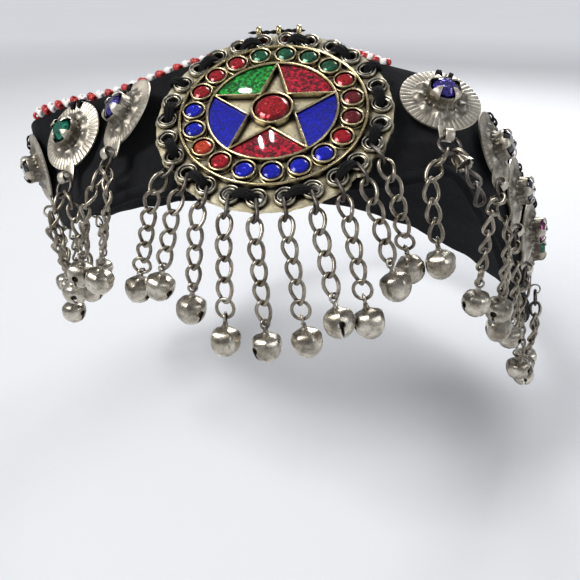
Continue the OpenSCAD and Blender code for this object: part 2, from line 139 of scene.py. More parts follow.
level.inputs["To Min"].default_value, level.inputs["To Max"].default_value = 0.38, 0.92
world.node_tree.links.new(looking.outputs["Is Camera Ray"], level.inputs["Value"])
world.node_tree.links.new(level.outputs[0], walls["Strength"])
bpy.context.scene.world = world
bpy.context.scene.view_settings.view_transform = "Standard"
bpy.context.scene.view_settings.look = "None"

# %% [markdown]
# ## The path of the band
# The band lies on a head, so its middle line is a bent loop that leans as the head does.
# Twenty rows give its bearing, reach, height, lean and the cloth above and below it.
# A smooth curve through the rows gives a frame at each point: along the band, out of
# it and across it. Every other piece hangs from these frames, as it does in CAD.

# %% Band frames
BAND_ROWS = np.array([
    [0, 70, 46, 57, 30, 20], [21, 71, 45, 57, 28, 18], [36, 74, 44, 55, 20, 16], [52, 76, 27, 40, 19, 19],
    [66, 78, 7, 26, 19, 20], [79, 82, -13, 18, 19, 20], [95, 87, -24, 12, 19, 20], [116, 92, -27, 8, 19, 20],
    [138, 96, -25, 6, 19, 20], [160, 100, -21, 6, 19, 20], [180, 101, -16, 6, 19, 20], [200, 98, -11, 6, 19, 20],
    [219, 94, -6, 6, 19, 20], [236, 91, -1, 4, 19, 20], [253, 91, 3, -2, 18, 19], [269, 93, 8, -8, 17, 18],
    [284, 96, 14, -12, 17, 17], [299, 95, 22, -2, 18, 18], [318, 84, 34, 40, 20, 19], [339, 75, 42, 55, 29, 19]],
    float)
bearings, band_reach = np.radians(BAND_ROWS[:, 0]), BAND_ROWS[:, 1]
BAND_POINTS = np.column_stack([band_reach * np.sin(bearings), -band_reach * np.cos(bearings), BAND_ROWS[:, 2:]])


def unit(v):
    return v / np.linalg.norm(v)


def smooth_row(u):
    """A row between the twenty, by a curve that passes through them all."""
    i = int(math.floor(u))
    t = u - i
    a, b, c, d = (BAND_POINTS[(i + k) % len(BAND_POINTS)] for k in (-1, 0, 1, 2))
    return 0.5 * (2 * b + (c - a) * t + (2 * a - 5 * b + 4 * c - d) * t ** 2 + (3 * b - a - 3 * c + d) * t ** 3)


def band_frame(u):
    """Point, along, outward, across, cloth above and cloth below, in millimetres."""
    row = smooth_row(u)
    along = unit(smooth_row(u + 0.05)[:3] - smooth_row(u - 0.05)[:3])
    level = unit(np.array([along[1], -along[0], 0.0]))
    lean = math.radians(row[3])
    raw = math.cos(lean) * level + math.sin(lean) * np.array([0, 0, 1.0])
    outward = unit(raw - (raw @ along) * along)
    return row[:3], along, outward, np.cross(outward, along), row[4], row[5]


steps = np.arange(0, 20.001, 0.1)
stops = np.array([smooth_row(u)[:3] for u in steps])
lengths = np.concatenate([[0], np.cumsum(np.linalg.norm(np.diff(stops, axis=0), axis=1))])
BAND_LENGTH = lengths[-1]


def at_station(s):
    """The frame at a length along the band, measured from the middle of the front."""
    return band_frame(np.interp(s % BAND_LENGTH, lengths, steps))


print("band loop", round(BAND_LENGTH, 1), "mm")

# %% [markdown]
# ## Small tools for mesh work
# Most jewellery is wire, sheet or something turned. Three helpers cover that: a skin over
# rings of points, a tube along a path and a turned profile. A bag collects such parts,
# and one call makes them one closed mesh with merged doubles and outward faces.

# %% Mesh tools
def full_turn(count):
    """Angles in even steps round a circle."""
    return np.arange(count) * 2 * math.pi / count


def circle(radius, angles, height=0.0):
    """Points at one height round the upright axis."""
    return [(radius * math.cos(a), radius * math.sin(a), height) for a in angles]


def fluted(radius, height, depth, flutes, sides, lift=0.0):
    """A circle whose radius waves, and whose height may wave with it."""
    waves = [(a, depth * math.cos(flutes * a)) for a in full_turn(sides)]
    return [((radius + w) * math.cos(a), (radius + w) * math.sin(a), height + lift * w) for a, w in waves]


def skin(grid, wrap_rows=False):
    """Faces over rings of points. Returns points and faces."""
    grid = np.asarray(grid, float)
    n, m = grid.shape[:2]
    i, j = np.meshgrid(np.arange(n if wrap_rows else n - 1), np.arange(m), indexing="ij")
    a, b = i * m + j, i * m + (j + 1) % m
    c, d = ((i + 1) % n) * m + (j + 1) % m, ((i + 1) % n) * m + j
    return grid.reshape(-1, 3), np.stack([d, c, b, a], -1).reshape(-1, 4).tolist()


def tube(path, radius, sides=8, closed=False, first=(0.31, 0.52, 0.79)):
    """A round wire along a path. An open one ends in small domes."""
    path = np.asarray(path, float)
    ahead = np.roll(path, -1, 0) - np.roll(path, 1, 0)
    if not closed:
        ahead[0], ahead[-1] = path[1] - path[0], path[-1] - path[-2]
    ahead = ahead / np.linalg.norm(ahead, axis=1)[:, None]
    side = np.array(first, float)
    radii = np.broadcast_to(np.asarray(radius, float), len(path))
    turn = full_turn(sides)[:, None]
    rings = []
    for point, way, size in zip(path, ahead, radii):
        side = unit(side - (side @ way) * way)
        rings.append(point + size * (np.cos(turn) * side + np.sin(turn) * np.cross(way, side)))
    if not closed:
        for end, away in ((0, -1), (-1, 1)):
            middle, out = path[end], away * ahead[end] * radii[end]
            cap = [middle + (rings[end] - middle) * 0.72 + out * 0.55, np.tile(middle + out * 0.8, (sides, 1))]
            rings = cap[::-1] + rings if end == 0 else rings + cap
    return skin(rings, closed)


def turned(profile, sides, wrap_rows=False):
    """A profile of (radius, height) points turned round the upright axis."""
    return skin([circle(r, full_turn(sides), z) for r, z in profile], wrap_rows)


def ring_wire(radius, wire, around=32, sides=8, height=0.0):
    return tube(circle(radius, full_turn(around), height), wire, sides, closed=True, first=(0, 0, 1))


class Bag:
    """Collects the parts of one piece before they become a mesh."""

    def __init__(self):
        self.points, self.faces, self.slots = [], [], []

    def put(self, part, place=None, slot=0):
        """Adds a part at a place, which is a point and its X, Y and Z axes."""
        points, faces = np.asarray(part[0], float), part[1]
        if place is not None:
            points = points @ np.array(place[1:4]) + np.array(place[0])
        start = len(self.points)
        self.points.extend(points.tolist())
        self.faces.extend([[v + start for v in face] for face in faces])
        self.slots.extend([slot] * len(faces))
        return self


def smooth(mesh, crease):
    """Soft shading, with sharp edges only where faces meet at more than the crease."""
    mesh.shade_smooth()
    if crease < 180:
        mesh.set_sharp_from_angle(angle=math.radians(crease))


def make_piece(name, shape, finishes=(), crease=180):
    """One object from a bag or a part: in metres, doubles merged and faces turned out."""
    bag = shape if isinstance(shape, Bag) else Bag().put(shape)
    mesh = bpy.data.meshes.new(name)
    mesh.from_pydata((np.array(bag.points) * MM).tolist(), [], bag.faces)
    mesh.polygons.foreach_set("material_index", bag.slots)
    for finish in finishes:
        mesh.materials.append(finish)
    form = bmesh.new()
    form.from_mesh(mesh)
    bmesh.ops.remove_doubles(form, verts=form.verts, dist=1e-7)
    bmesh.ops.dissolve_degenerate(form, dist=1e-8, edges=form.edges)
    bmesh.ops.recalc_face_normals(form, faces=form.faces)
    form.to_mesh(mesh)
    form.free()
    smooth(mesh, crease)
    return new_object(name, mesh)


def finish_piece(piece, nodes=()):
    """Every piece rides on the one body and may stand for CAD nodes, which it hides."""
    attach(piece, "root")
    if nodes:
        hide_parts(*nodes)
    print(piece.name, "faces", len(piece.data.polygons))


def discard(*forms):
    """Removes patterns once their copies are made."""
    for form in forms:
        bpy.data.objects.remove(form)


print("mesh tools ready")

# %% [markdown]
# ## Node tools
# Materials and Geometry Nodes are both trees of nodes, so one helper adds a node, sets its
# options and either links or fills its inputs. Two more do arithmetic and carry a value
# from one range to another. Runs of pattern, such as stitches and links, are set out by a
# tree that copies one part onto points, each turned by its own attribute. The copies
# become real faces, because an export keeps only those.

# %% Node tools
def fill(tree, node, inputs):
    """Links an input to a socket, or gives it a plain value."""
    for key, value in inputs.items():
        if isinstance(value, bpy.types.NodeSocket):
            tree.links.new(value, node.inputs[key])
        else:
            node.inputs[key].default_value = value


def add(tree, kind, inputs=(), **options):
    node = tree.nodes.new(kind)
    for key, value in options.items():
        setattr(node, key, value)
    fill(tree, node, dict(inputs))
    return node


def calc(tree, operation, *values, **options):
    """The result of one maths node."""
    return add(tree, "ShaderNodeMath", enumerate(values), operation=operation, **options).outputs[0]


def span(tree, value, low, high, to_low=0.0, to_high=1.0, **options):
    """A value carried from one range to another."""
    return add(tree, "ShaderNodeMapRange", {"Value": value, "From Min": low, "From Max": high, "To Min": to_low,
                                            "To Max": to_high}, **options).outputs[0]


def noise(tree, vector, scale, detail, rough=0.55):
    return add(tree, "ShaderNodeTexNoise", {"Vector": vector, "Scale": scale, "Detail": detail,
                                            "Roughness": rough}).outputs["Fac"]


def new_tree(title, sockets):
    """A Geometry Nodes tree with named inputs. Returns it and its inputs' sockets."""
    tree = bpy.data.node_groups.new(title, "GeometryNodeTree")
    tree.interface.new_socket("Start", in_out="INPUT", socket_type="NodeSocketGeometry")
    tree.interface.new_socket("Result", in_out="OUTPUT", socket_type="NodeSocketGeometry")
    for label, kind, value in sockets:
        socket = tree.interface.new_socket(label, in_out="INPUT", socket_type="NodeSocket" + kind)
        if value is not None:
            socket.default_value = value
    return tree, add(tree, "NodeGroupInput").outputs


def close_tree(tree, geometry, finish):
    """Ends a tree: copies become real, and the finish is set."""
    real = add(tree, "GeometryNodeRealizeInstances", {"Geometry": geometry})
    dressed = add(tree, "GeometryNodeSetMaterial", {"Geometry": real.outputs[0], "Material": finish})
    add(tree, "NodeGroupOutput", {"Result": dressed.outputs[0]})


def run_tree(piece, tree, values):
    """Runs a tree on a piece and keeps the result as a plain mesh."""
    modifier = piece.modifiers.new(tree.name, "NODES")
    modifier.node_group = tree
    for item in tree.interface.items_tree:
        if item.item_type == "SOCKET" and item.in_out == "INPUT" and item.name in values:
            modifier[item.identifier] = values[item.name]
    graph = bpy.context.evaluated_depsgraph_get()
    made = bpy.data.meshes.new_from_object(piece.evaluated_get(graph), preserve_all_data_layers=True, depsgraph=graph)
    piece.modifiers.remove(modifier)
    piece.data = made


SET_OUT, given = new_tree("set out on points", [
    ("Part", "Object", None), ("Loose turn", "Float", 0.0), ("Seed", "Int", 1), ("Finish", "Material", None)])
chance = add(SET_OUT, "FunctionNodeRandomValue", {"Min": (-1, -1, -1), "Max": (1, 1, 1), "Seed": given["Seed"]},
             data_type="FLOAT_VECTOR")
loose = add(SET_OUT, "ShaderNodeVectorMath", {0: chance.outputs["Value"], "Scale": given["Loose turn"]},
            operation="SCALE")
nudge = add(SET_OUT, "FunctionNodeEulerToRotation", {0: loose.outputs["Vector"]})
turn = add(SET_OUT, "GeometryNodeInputNamedAttribute", {"Name": "turn"}, data_type="QUATERNION")
turned_by = add(SET_OUT, "FunctionNodeRotateRotation",
                {"Rotation": turn.outputs["Attribute"], "Rotate By": nudge.outputs[0]}, rotation_space="LOCAL")
part = add(SET_OUT, "GeometryNodeObjectInfo", {"Object": given["Part"]}, transform_space="ORIGINAL")
copies = add(SET_OUT, "GeometryNodeInstanceOnPoints", {
    "Points": given["Start"], "Instance": part.outputs["Geometry"], "Rotation": turned_by.outputs[0]})
tone = add(SET_OUT, "FunctionNodeRandomValue", {"Seed": given["Seed"]}, data_type="FLOAT")
toned = add(SET_OUT, "GeometryNodeStoreNamedAttribute",
            {"Geometry": copies.outputs[0], "Name": "tone", "Value": tone.outputs[1]},
            data_type="FLOAT", domain="INSTANCE")
close_tree(SET_OUT, toned.outputs[0], given["Finish"])


def set_out(name, part, places, finish, crease=180, loose=0.0, seed=1):
    """Copies a part to places, each a point with its X, Y and Z axes."""
    cloud = bpy.data.meshes.new(name)
    cloud.from_pydata([tuple(np.array(p[0]) * MM) for p in places], [], [])
    turns = [Matrix(np.array(p[1:4]).T.tolist()).to_quaternion() for p in places]
    cloud.attributes.new("turn", "QUATERNION", "POINT").data.foreach_set("value", [v for q in turns for v in q])
    piece = new_object(name, cloud)
    run_tree(piece, SET_OUT, {"Part": part, "Loose turn": loose, "Seed": seed, "Finish": finish})
    smooth(piece.data, crease)
    return piece


def put_together(name, parts):
    """Joins finished objects into one, keeping each one's finish."""
    with bpy.context.temp_override(active_object=parts[0], selected_editable_objects=parts):
        bpy.ops.object.join()
    parts[0].name = parts[0].data.name = name
    return parts[0]


print("tree inputs", [i.name for i in SET_OUT.interface.items_tree if i.in_out == "INPUT"])

# %% [markdown]
# ## Metal finishes
# None of this metal is clean. Cast brass with silver wash darkens in its recesses and
# stays bright where it rubs, so each metal mixes a worn colour and an oxide colour by how
# closed-in the surface is, as ambient occlusion finds it. That darkening is real oxide in
# the hollows and painted shade as well. Noise at two sizes breaks up the gloss, and a
# fine bump gives the skin left by casting, stamping or drawing.

# %% Metal
def new_finish(name):
    """A material with its tree, its shader and a coordinate in millimetres."""
    finish = bpy.data.materials.new(name)
    finish.use_nodes = True
    tree = finish.node_tree
    where = add(tree, "ShaderNodeTexCoord").outputs["Object"]
    spot = add(tree, "ShaderNodeMapping", {"Vector": where, "Scale": (1 / MM,) * 3})
    return finish, tree, tree.nodes["Principled BSDF"], spot.outputs[0]


def ramp(tree, factor, stops):
    """Colours at stops along a factor."""
    node = add(tree, "ShaderNodeValToRGB", {0: factor})
    while len(node.color_ramp.elements) < len(stops):
        node.color_ramp.elements.new(0.5)
    for element, (at, colour) in zip(node.color_ramp.elements, stops):
        element.position, element.color = at, (*colour, 1)
    return node.outputs[0]


def scaled(colour, by):
    return tuple(by * c for c in colour)


def blend_colour(tree, factor, low, high):
    """A mix of two colours, each a socket or plain red, green and blue."""
    low, high = (c if isinstance(c, bpy.types.NodeSocket) else (*c, 1) for c in (low, high))
    return add(tree, "ShaderNodeMix", {0: factor, 6: low, 7: high}, data_type="RGBA").outputs[2]


def bumps(tree, height, strength, distance):
    return add(tree, "ShaderNodeBump", {"Height": height, "Strength": strength, "Distance": distance * MM}).outputs[0]


def stored(tree, name):
    """A value that the mesh carries."""
    return add(tree, "ShaderNodeAttribute", attribute_name=name).outputs["Fac"]


def metal(name, worn, dull, oxide, gloss, reach, bump=0.05, oxide_and_shade_at=(0.35, 0.8), speckle=0.0, pressed=False):
    """Worn metal, darker where ambient occlusion finds recesses: oxide and painted shade. Pressed metal also gets
    painted shade in its rib valleys and tarnish round its cup.
    """
    finish, tree, shader, spot = new_finish(name)
    fine = noise(tree, spot, 0.9, 6.0, 0.65)
    cover = ramp(tree, noise(tree, spot, 0.22, 4.0), [(0.35, dull), (0.62, worn)])
    # Ambient occlusion darkens the colour in recesses: oxide there, and painted shade.
    closed = add(tree, "ShaderNodeAmbientOcclusion", {"Distance": reach * MM}, samples=6).outputs["AO"]
    dirt = span(tree, fine, 0.28, 0.5 - speckle, 0.45 - 2 * speckle)
    clean_and_unshaded = calc(tree, "MULTIPLY", span(tree, closed, *oxide_and_shade_at), dirt)
    if pressed:
        clean_and_unshaded = calc(tree, "MULTIPLY", clean_and_unshaded, span(tree, stored(tree, "valley"), 0, 1, 1, 0.34))
    fill(tree, shader, {
        "Base Color": blend_colour(tree, clean_and_unshaded, oxide, cover), "Metallic": 1.0,
        "Roughness": span(tree, fine, 0.3, 0.7, gloss[1], gloss[0]), "Normal": bumps(tree, fine, 0.6, bump)})
    return finish


cast_brass = metal("cast white brass", (0.96, 0.87, 0.62), (0.76, 0.66, 0.44), (0.016, 0.013, 0.009),
                   (0.26, 0.52), 1.7, bump=0.07, oxide_and_shade_at=(0.56, 0.94), speckle=0.03)
pale_brass = metal("pale brass edges", (0.80, 0.68, 0.40), (0.52, 0.42, 0.21), (0.08, 0.055, 0.025),
                   (0.18, 0.38), 0.6, bump=0.03)
bright_ring = metal("rubbed silver brass", (0.72, 0.68, 0.57), (0.44, 0.40, 0.31), (0.02, 0.018, 0.014),
                    (0.2, 0.42), 1.2, oxide_and_shade_at=(0.35, 0.85))
white_metal = metal("stamped white metal", (0.68, 0.635, 0.55), (0.50, 0.45, 0.37), (0.035, 0.03, 0.022),
                    (0.38, 0.58), 1.4, oxide_and_shade_at=(0.4, 0.95), speckle=0.09, pressed=True)
cup_metal = metal("tarnished white metal", (0.33, 0.30, 0.245), (0.15, 0.13, 0.10), (0.014, 0.012, 0.009),
                  (0.28, 0.5), 2.4, bump=0.06, oxide_and_shade_at=(0.4, 0.97), speckle=0.06)
aged_steel = metal("aged steel", (0.42, 0.38, 0.31), (0.20, 0.17, 0.13), (0.022, 0.018, 0.014),
                   (0.22, 0.5), 1.2, bump=0.06, oxide_and_shade_at=(0.25, 0.85))
# Dark iron for jump rings and first links; on the links of a drop in shadow it paints shade.
dark_iron_and_link_shade = metal("dark iron", (0.17, 0.155, 0.145), (0.085, 0.068, 0.055), (0.022, 0.016, 0.013),
                  (0.32, 0.6), 1.0, bump=0.06)
black_oxide_and_channel_shade = metal("black oxide", (0.05, 0.045, 0.038), (0.018, 0.015, 0.012), (0.006, 0.005, 0.004),
                    (0.45, 0.75), 0.8)
bell_metal = metal("warm pewter", (0.66, 0.61, 0.52), (0.24, 0.21, 0.165), (0.018, 0.015, 0.012),
                   (0.16, 0.44), 2.0, bump=0.09, oxide_and_shade_at=(0.3, 0.9))
print("metals", [m.name for m in bpy.data.materials if m.use_nodes][:12])

# %% [markdown]
# ## Cloth, thread and cord
# Black cotton is never quite black: it catches light on its weave and shows lint. The
# weave follows the cloth by its own UV map, one wave for each set of threads, and a
# soft sheen lifts the folds. Yarn and cord are duller, and noise stands for their fibre.

# %% Cloth
def cloth(name, colour, lint, pitch, sheen):
    """Woven cotton with flecks of lint. Its threads follow the UV map."""
    finish, tree, shader, spot = new_finish(name)
    where = add(tree, "ShaderNodeUVMap", uv_map="weave").outputs[0]
    threads = [add(tree, "ShaderNodeTexWave",
                   {"Vector": where, "Scale": 0.5 / pitch, "Distortion": 0.6, "Detail": 1.0, "Detail Scale": 2.0},
                   wave_type="BANDS", bands_direction=direction).outputs["Fac"] for direction in "XY"]
    soft = noise(tree, spot, 0.35, 5.0)
    lint_at = span(tree, noise(tree, spot, 3.1, 2.0), 0.68, 0.78)
    cover = ramp(tree, soft, [(0.3, colour), (0.7, scaled(colour, 1.9))])
    height = calc(tree, "ADD", calc(tree, "MAXIMUM", *threads), soft)
    fill(tree, shader, {
        "Base Color": blend_colour(tree, lint_at, cover, lint), "Normal": bumps(tree, height, 0.7, 0.12),
        "Roughness": 0.92, "Specular IOR Level": 0.2, "Sheen Weight": sheen, "Sheen Roughness": 0.45,
        "Sheen Tint": (0.55, 0.58, 0.65, 1)})
    return finish


def yarn(name, colour, sheen):
    """Dull dark fibre."""
    finish, tree, shader, spot = new_finish(name)
    fibre = noise(tree, spot, 2.6, 5.0, 0.7)
    fill(tree, shader, {
        "Base Color": ramp(tree, fibre, [(0.35, colour), (0.72, scaled(colour, 3.2))]),
        "Normal": bumps(tree, fibre, 0.9, 0.2), "Roughness": 0.95, "Specular IOR Level": 0.2, "Sheen Weight": sheen})
    return finish


black_cotton = cloth("black cotton", (0.0032, 0.0034, 0.0042), (0.035, 0.035, 0.04), 0.42, 0.035)
black_yarn = yarn("black wool yarn", (0.0025, 0.0025, 0.003), 0.06)
black_cord = yarn("black waxed cord", (0.006, 0.005, 0.005), 0.05)
print("cloth finishes", [m.name for m in (black_cotton, black_yarn, black_cord)])

# %% [markdown]
# ## Glass and glitter resin
# The stones are glass with foil behind them: the colour glows because light crosses the
# glass twice. A mirror-like coloured base broken into facets stands for the foil: bright
# and dark facet patches are painted into it as the foil's sparkle, with painted shade
# towards the girdle and at grazing angles, under a clear coat that keeps its own smooth
# gloss. The resin panels hold glitter, so their base is a crowd of small tilted flakes
# whose random tones also paint their glints, also under a clear coat.

# %% Glass and resin
FACET = 1.1


def foiled_glass(name, bright, deep):
    """Coloured glass over foil, with painted sparkle in facet patches and painted shade towards its girdle and at
    grazing angles.
    """
    finish, tree, shader, spot = new_finish(name)
    # dark is the colour of the painted shade at the girdle and at grazing angles.
    dark = scaled(deep, 0.3)
    cut = add(tree, "ShaderNodeTexVoronoi", {"Vector": spot, "Scale": 0.9 / FACET, "Randomness": 0.9})
    mix = calc(tree, "MULTIPLY", cut.outputs["Distance"], noise(tree, spot, 0.8 / FACET, 1.0))
    # Painted sparkle: bright and dark facet patches stand for light off the foil.
    painted_facet_sparkle = ramp(tree, mix, [(0.05, deep), (0.3, bright), (0.55, deep)])
    painted_grazing_shade = add(tree, "ShaderNodeLayerWeight", {"Blend": 0.25}).outputs["Facing"]
    painted_rim_shade = span(tree, stored(tree, "rim"), 0.62, 0.95)
    fill(tree, shader, {
        "Base Color": blend_colour(tree, painted_rim_shade, blend_colour(tree, painted_grazing_shade, painted_facet_sparkle, dark), dark),
        "Normal": bumps(tree, mix, 0.6, 0.5), "Metallic": 0.55, "Roughness": 0.2, "Coat Weight": 1.0,
        "Coat Roughness": 0.03})
    return finish


def glitter(name, bright, deep, per_mm, tilt_by):
    """Clear resin over flakes that differ in tilt, and in tone at random, with painted glints on the brightest."""
    finish, tree, shader, spot = new_finish(name)
    flakes = add(tree, "ShaderNodeTexVoronoi", {"Vector": spot, "Scale": per_mm, "Randomness": 1.0})
    flake_tone_and_glint = add(tree, "ShaderNodeSeparateColor", {0: flakes.outputs["Color"]}).outputs
    between = tuple(0.35 * b + 0.65 * d for b, d in zip(bright, deep))
    fill(tree, shader, {
        # Random flake tones, whose bright end also paints the glints.
        "Base Color": ramp(tree, flake_tone_and_glint[0], [(0.15, deep), (0.6, between), (0.95, bright)]),
        "Normal": bumps(tree, flake_tone_and_glint[1], 1.0, tilt_by), "Metallic": 0.6, "Roughness": 0.3, "Coat Weight": 1.0,
        "Coat Roughness": 0.025})
    return finish


def bead_glass(name, bright, deep, rough):
    """Opaque bead glass. Each bead has its own tone."""
    finish, tree, shader, spot = new_finish(name)
    mix = calc(tree, "MULTIPLY", stored(tree, "tone"), noise(tree, spot, 1.2, 2.0))
    fill(tree, shader, {"Base Color": ramp(tree, mix, [(0.0, deep), (0.45, bright)]), "Roughness": rough})
    return finish


def floor_with_painted_glow():
    """A plain floor with painted light: it glows more the farther away it is."""
    finish, tree, shader, spot = new_finish("pale floor")
    away = add(tree, "ShaderNodeVectorMath", {0: spot}, operation="LENGTH").outputs["Value"]
    fill(tree, shader, {
        "Base Color": ramp(tree, noise(tree, spot, 0.004, 2.0), [(0.3, (0.60, 0.61, 0.63)), (0.7, (0.62, 0.63, 0.65))]),
        # Painted light: emission that grows with distance brightens the far floor.
        "Emission Strength": span(tree, away, 250, 2200, 0, 0.34, interpolation_type="SMOOTHSTEP"),
        "Emission Color": (0.94, 0.96, 1.0, 1), "Roughness": 0.9, "Specular IOR Level": 0.1})
    return finish


RED, DARK_RED, GREEN, BLUE = "red", "dark red", "green", "blue"
glasses = {
    RED: foiled_glass("red glass", (0.72, 0.0, 0.012), (0.24, 0.0, 0.004)),
    DARK_RED: foiled_glass("dark red glass", (0.24, 0.0, 0.006), (0.09, 0.0, 0.001)),
    GREEN: foiled_glass("green glass", (0.0, 0.20, 0.075), (0.0, 0.014, 0.006)),
    BLUE: foiled_glass("blue glass", (0.0, 0.012, 0.86), (0.0, 0.001, 0.30)),
    "orange": foiled_glass("orange red glass", (0.95, 0.12, 0.03), (0.6, 0.012, 0.0)),
    "violet": foiled_glass("violet glass", (0.05, 0.03, 0.34), (0.012, 0.006, 0.08)),
    "teal": foiled_glass("teal glass", (0.0, 0.26, 0.15), (0.0, 0.07, 0.045)),
    "smoke": foiled_glass("smoke glass", (0.05, 0.045, 0.05), (0.006, 0.006, 0.008)),
    "magenta": foiled_glass("magenta glass", (0.34, 0.01, 0.17), (0.07, 0.0, 0.03))}
resins = {RED: glitter("red glitter resin", (0.86, 0.004, 0.04), (0.06, 0.0, 0.004), 1.7, 0.5),
          GREEN: glitter("green glitter resin", (0.01, 0.62, 0.06), (0.0, 0.06, 0.006), 1.5, 0.5),
          BLUE: glitter("blue glitter resin", (0.0, 0.008, 0.80), (0.0, 0.001, 0.24), 2.8, 0.25)}
white_bead = bead_glass("white bead", (0.84, 0.84, 0.82), (0.78, 0.78, 0.78), 0.5)
red_bead = bead_glass("orange red bead", (0.54, 0.03, 0.028), (0.32, 0.011, 0.012), 0.3)
floor.data.materials.append(floor_with_painted_glow())
print("finishes", len(bpy.data.materials))

# %% [markdown]
# ## The cloth band
# The real band is black cotton folded over a soft core and stitched along a hem. It
# could be draped by simulation, but it is already pulled to a known path by the head
# and by the metal on it. So a rounded profile follows the band's frames, and folds are
# added only where nothing presses on the cloth. They run along the band, as pulled
# cloth folds do.

# %% Cloth band
TURN = 6.2832
chance_of = np.random.default_rng(7)
folds = [(int(chance_of.integers(3, 15)), 1 / chance_of.uniform(9, 26), chance_of.uniform(0, 6.28),
          chance_of.uniform(0.4, 1.0)) for _ in range(12)]
DISC_STATIONS = (43, 66.5, 89, 112, 136, -44, -67, -93, -119, -143)
CLOTH_RINGS, HEM_UP, UNDER_PLATE = 420, 4.2, 36


def fold_at(s, across):
    """How far the cloth stands off its path, and how far its lower edge strays."""
    s = (s + BAND_LENGTH / 2) % BAND_LENGTH - BAND_LENGTH / 2
    wave = sum(a * math.sin(TURN * (s * n / BAND_LENGTH + across * f) + p) for n, f, p, a in folds) / 4.5
    pressed = 1.0 if abs(s) < UNDER_PLATE else max(math.exp(-((s - d) / 10) ** 2) for d in DISC_STATIONS)
    if across < -4 and abs(s) > UNDER_PLATE - 3:
        pressed *= 0.35
    fold = (0.9 if wave > 0 else 1.9) * (1 - pressed) * wave + 0.12 * pressed * wave
    stray = math.sin(TURN * s * 17 / BAND_LENGTH + 1) * 0.5 + math.sin(TURN * s * 29 / BAND_LENGTH) * 0.3
    return fold - 0.2 * pressed, stray


def cloth_profile(above, below):
    """Out and across for each point round the folded cloth, rounded at both edges."""
    foot, height = 1.2 - below, above + below - 2.2
    top = [(math.cos(a), above - 1.0 + math.sin(a)) for a in np.radians(range(0, 181, 30))]
    low = [(1.25 * math.cos(a), foot + 1.2 * math.sin(a)) for a in np.radians(range(180, 361, 30))]
    outer = []
    for k in range(1, 26):
        b = foot + height * k / 26
        crease = 0.45 * math.exp(-((b + below - HEM_UP) / 0.7) ** 2)
        roll = 0.22 * math.exp(-((b + below - 2.0) / 1.3) ** 2)
        outer.append((1.0 + roll - crease, b))
    inner = [(-1.0, foot + height * (1 - k / 13)) for k in range(1, 13)]
    return outer + top + inner + low


def cloth_row(s):
    here, along, outward, across, above, below = at_station(s)
    row = []
    for out, b in cloth_profile(above, below):
        fold, stray = fold_at(s, b)
        low = max(0.0, min(1.0, (6 - (b + below)) / 6))
        row.append(here + (out + fold) * outward + (b + stray * low) * across)
    return row


def lay_weave(piece, rows, columns, length, width):
    """A UV map in millimetres, so that the weave follows the cloth."""
    layer = piece.data.uv_layers.new(name="weave")
    for face in piece.data.polygons:
        spots = [divmod(v, columns) for v in face.vertices]
        row_high, column_high = (max(axis) for axis in zip(*spots))
        for loop, (r, c) in zip(face.loop_indices, spots):
            r = r + rows if row_high - r > 2 else r
            c = c + columns if column_high - c > 2 else c
            layer.data[loop].uv = (r * length / rows, c * width / columns)


stations = [BAND_LENGTH * k / CLOTH_RINGS for k in range(CLOTH_RINGS)]
cloth_grid = np.array([cloth_row(s) for s in stations])
cloth_band = make_piece("cloth_band", skin(cloth_grid, True), [black_cotton])
lay_weave(cloth_band, CLOTH_RINGS, cloth_grid.shape[1], BAND_LENGTH, 80)
finish_piece(cloth_band, ["head_band"])

# %% [markdown]
# ## Hem stitches
# A row of small stitches holds the hem. They repeat by the hundred and follow an edge, so
# one stitch is modelled and Geometry Nodes set it out. Each is a short thread that
# dips at both ends.

# %% Hem stitches
STITCHES = 168
stitch = make_piece("stitch", tube([(-1.2, 0, -0.12), (-0.6, 0, 0.1), (0.6, 0, 0.1), (1.2, 0, -0.12)], 0.16, 6,
                                   first=(0, 0, 1)))
hem_places = []
for k in range(STITCHES):
    s = BAND_LENGTH * k / STITCHES
    here, along, outward, across, above, below = at_station(s)
    b = HEM_UP - below
    fold, stray = fold_at(s, b)
    hem_places.append((here + (0.62 + fold) * outward + (b + stray * 0.3) * across, along, across, outward))
finish_piece(set_out("hem_stitches", stitch, hem_places, black_yarn, loose=0.06, seed=3))
discard(stitch)

# %% [markdown]
# ## Seed beads
# Red and white glass beads are whipped over the top edge, so they sit in two staggered
# rows. A bead is a short tube with rounded lips. Two runs of points share one bead,
# and each copy carries a random tone that its glass reads, because no two are alike.

# %% Seed beads
FIRST_BEAD, LAST_BEAD, BEAD_STEP = -88.0, 36.3, 1.48
bead = make_piece("bead", turned([(0.42, -0.72), (0.8, -0.94), (1.16, -0.62), (1.28, 0.0), (1.16, 0.62), (0.8, 0.94),
                                  (0.42, 0.72)], 12, True))
rows_of = {"white": [], "red": []}
count, s = 0, FIRST_BEAD
while s < LAST_BEAD:
    here, along, outward, across, above, below = at_station(s)
    high = count % 2
    place = here + (above + 0.55 + 1.15 * high) * across + (0.25 - 0.5 * high) * outward
    tilt = 0.5 if high else -0.35
    axis = unit(math.cos(tilt) * along + math.sin(tilt) * across)
    rows_of[("red", "white", "white", "red")[count % 4]].append((place, outward, np.cross(axis, outward), axis))
    s += BEAD_STEP
    count += 1
beads = [set_out("beads_white", bead, rows_of["white"], white_bead, loose=0.22, seed=5),
         set_out("beads_red", bead, rows_of["red"], red_bead, loose=0.22, seed=6)]
finish_piece(put_together("seed_beads", beads), ["bead_edging"])
discard(bead)
print("beads", count)

# %% [markdown]
# ## The medallion's frame
# The plate is cast in one with its eyes, bezels and walls, and its CAD shape is right. It
# keeps that shape and gets an antique finish. What CAD leaves sharp, the caster and
# the polisher rounded, so bright rims are laid on its edges in the next steps.

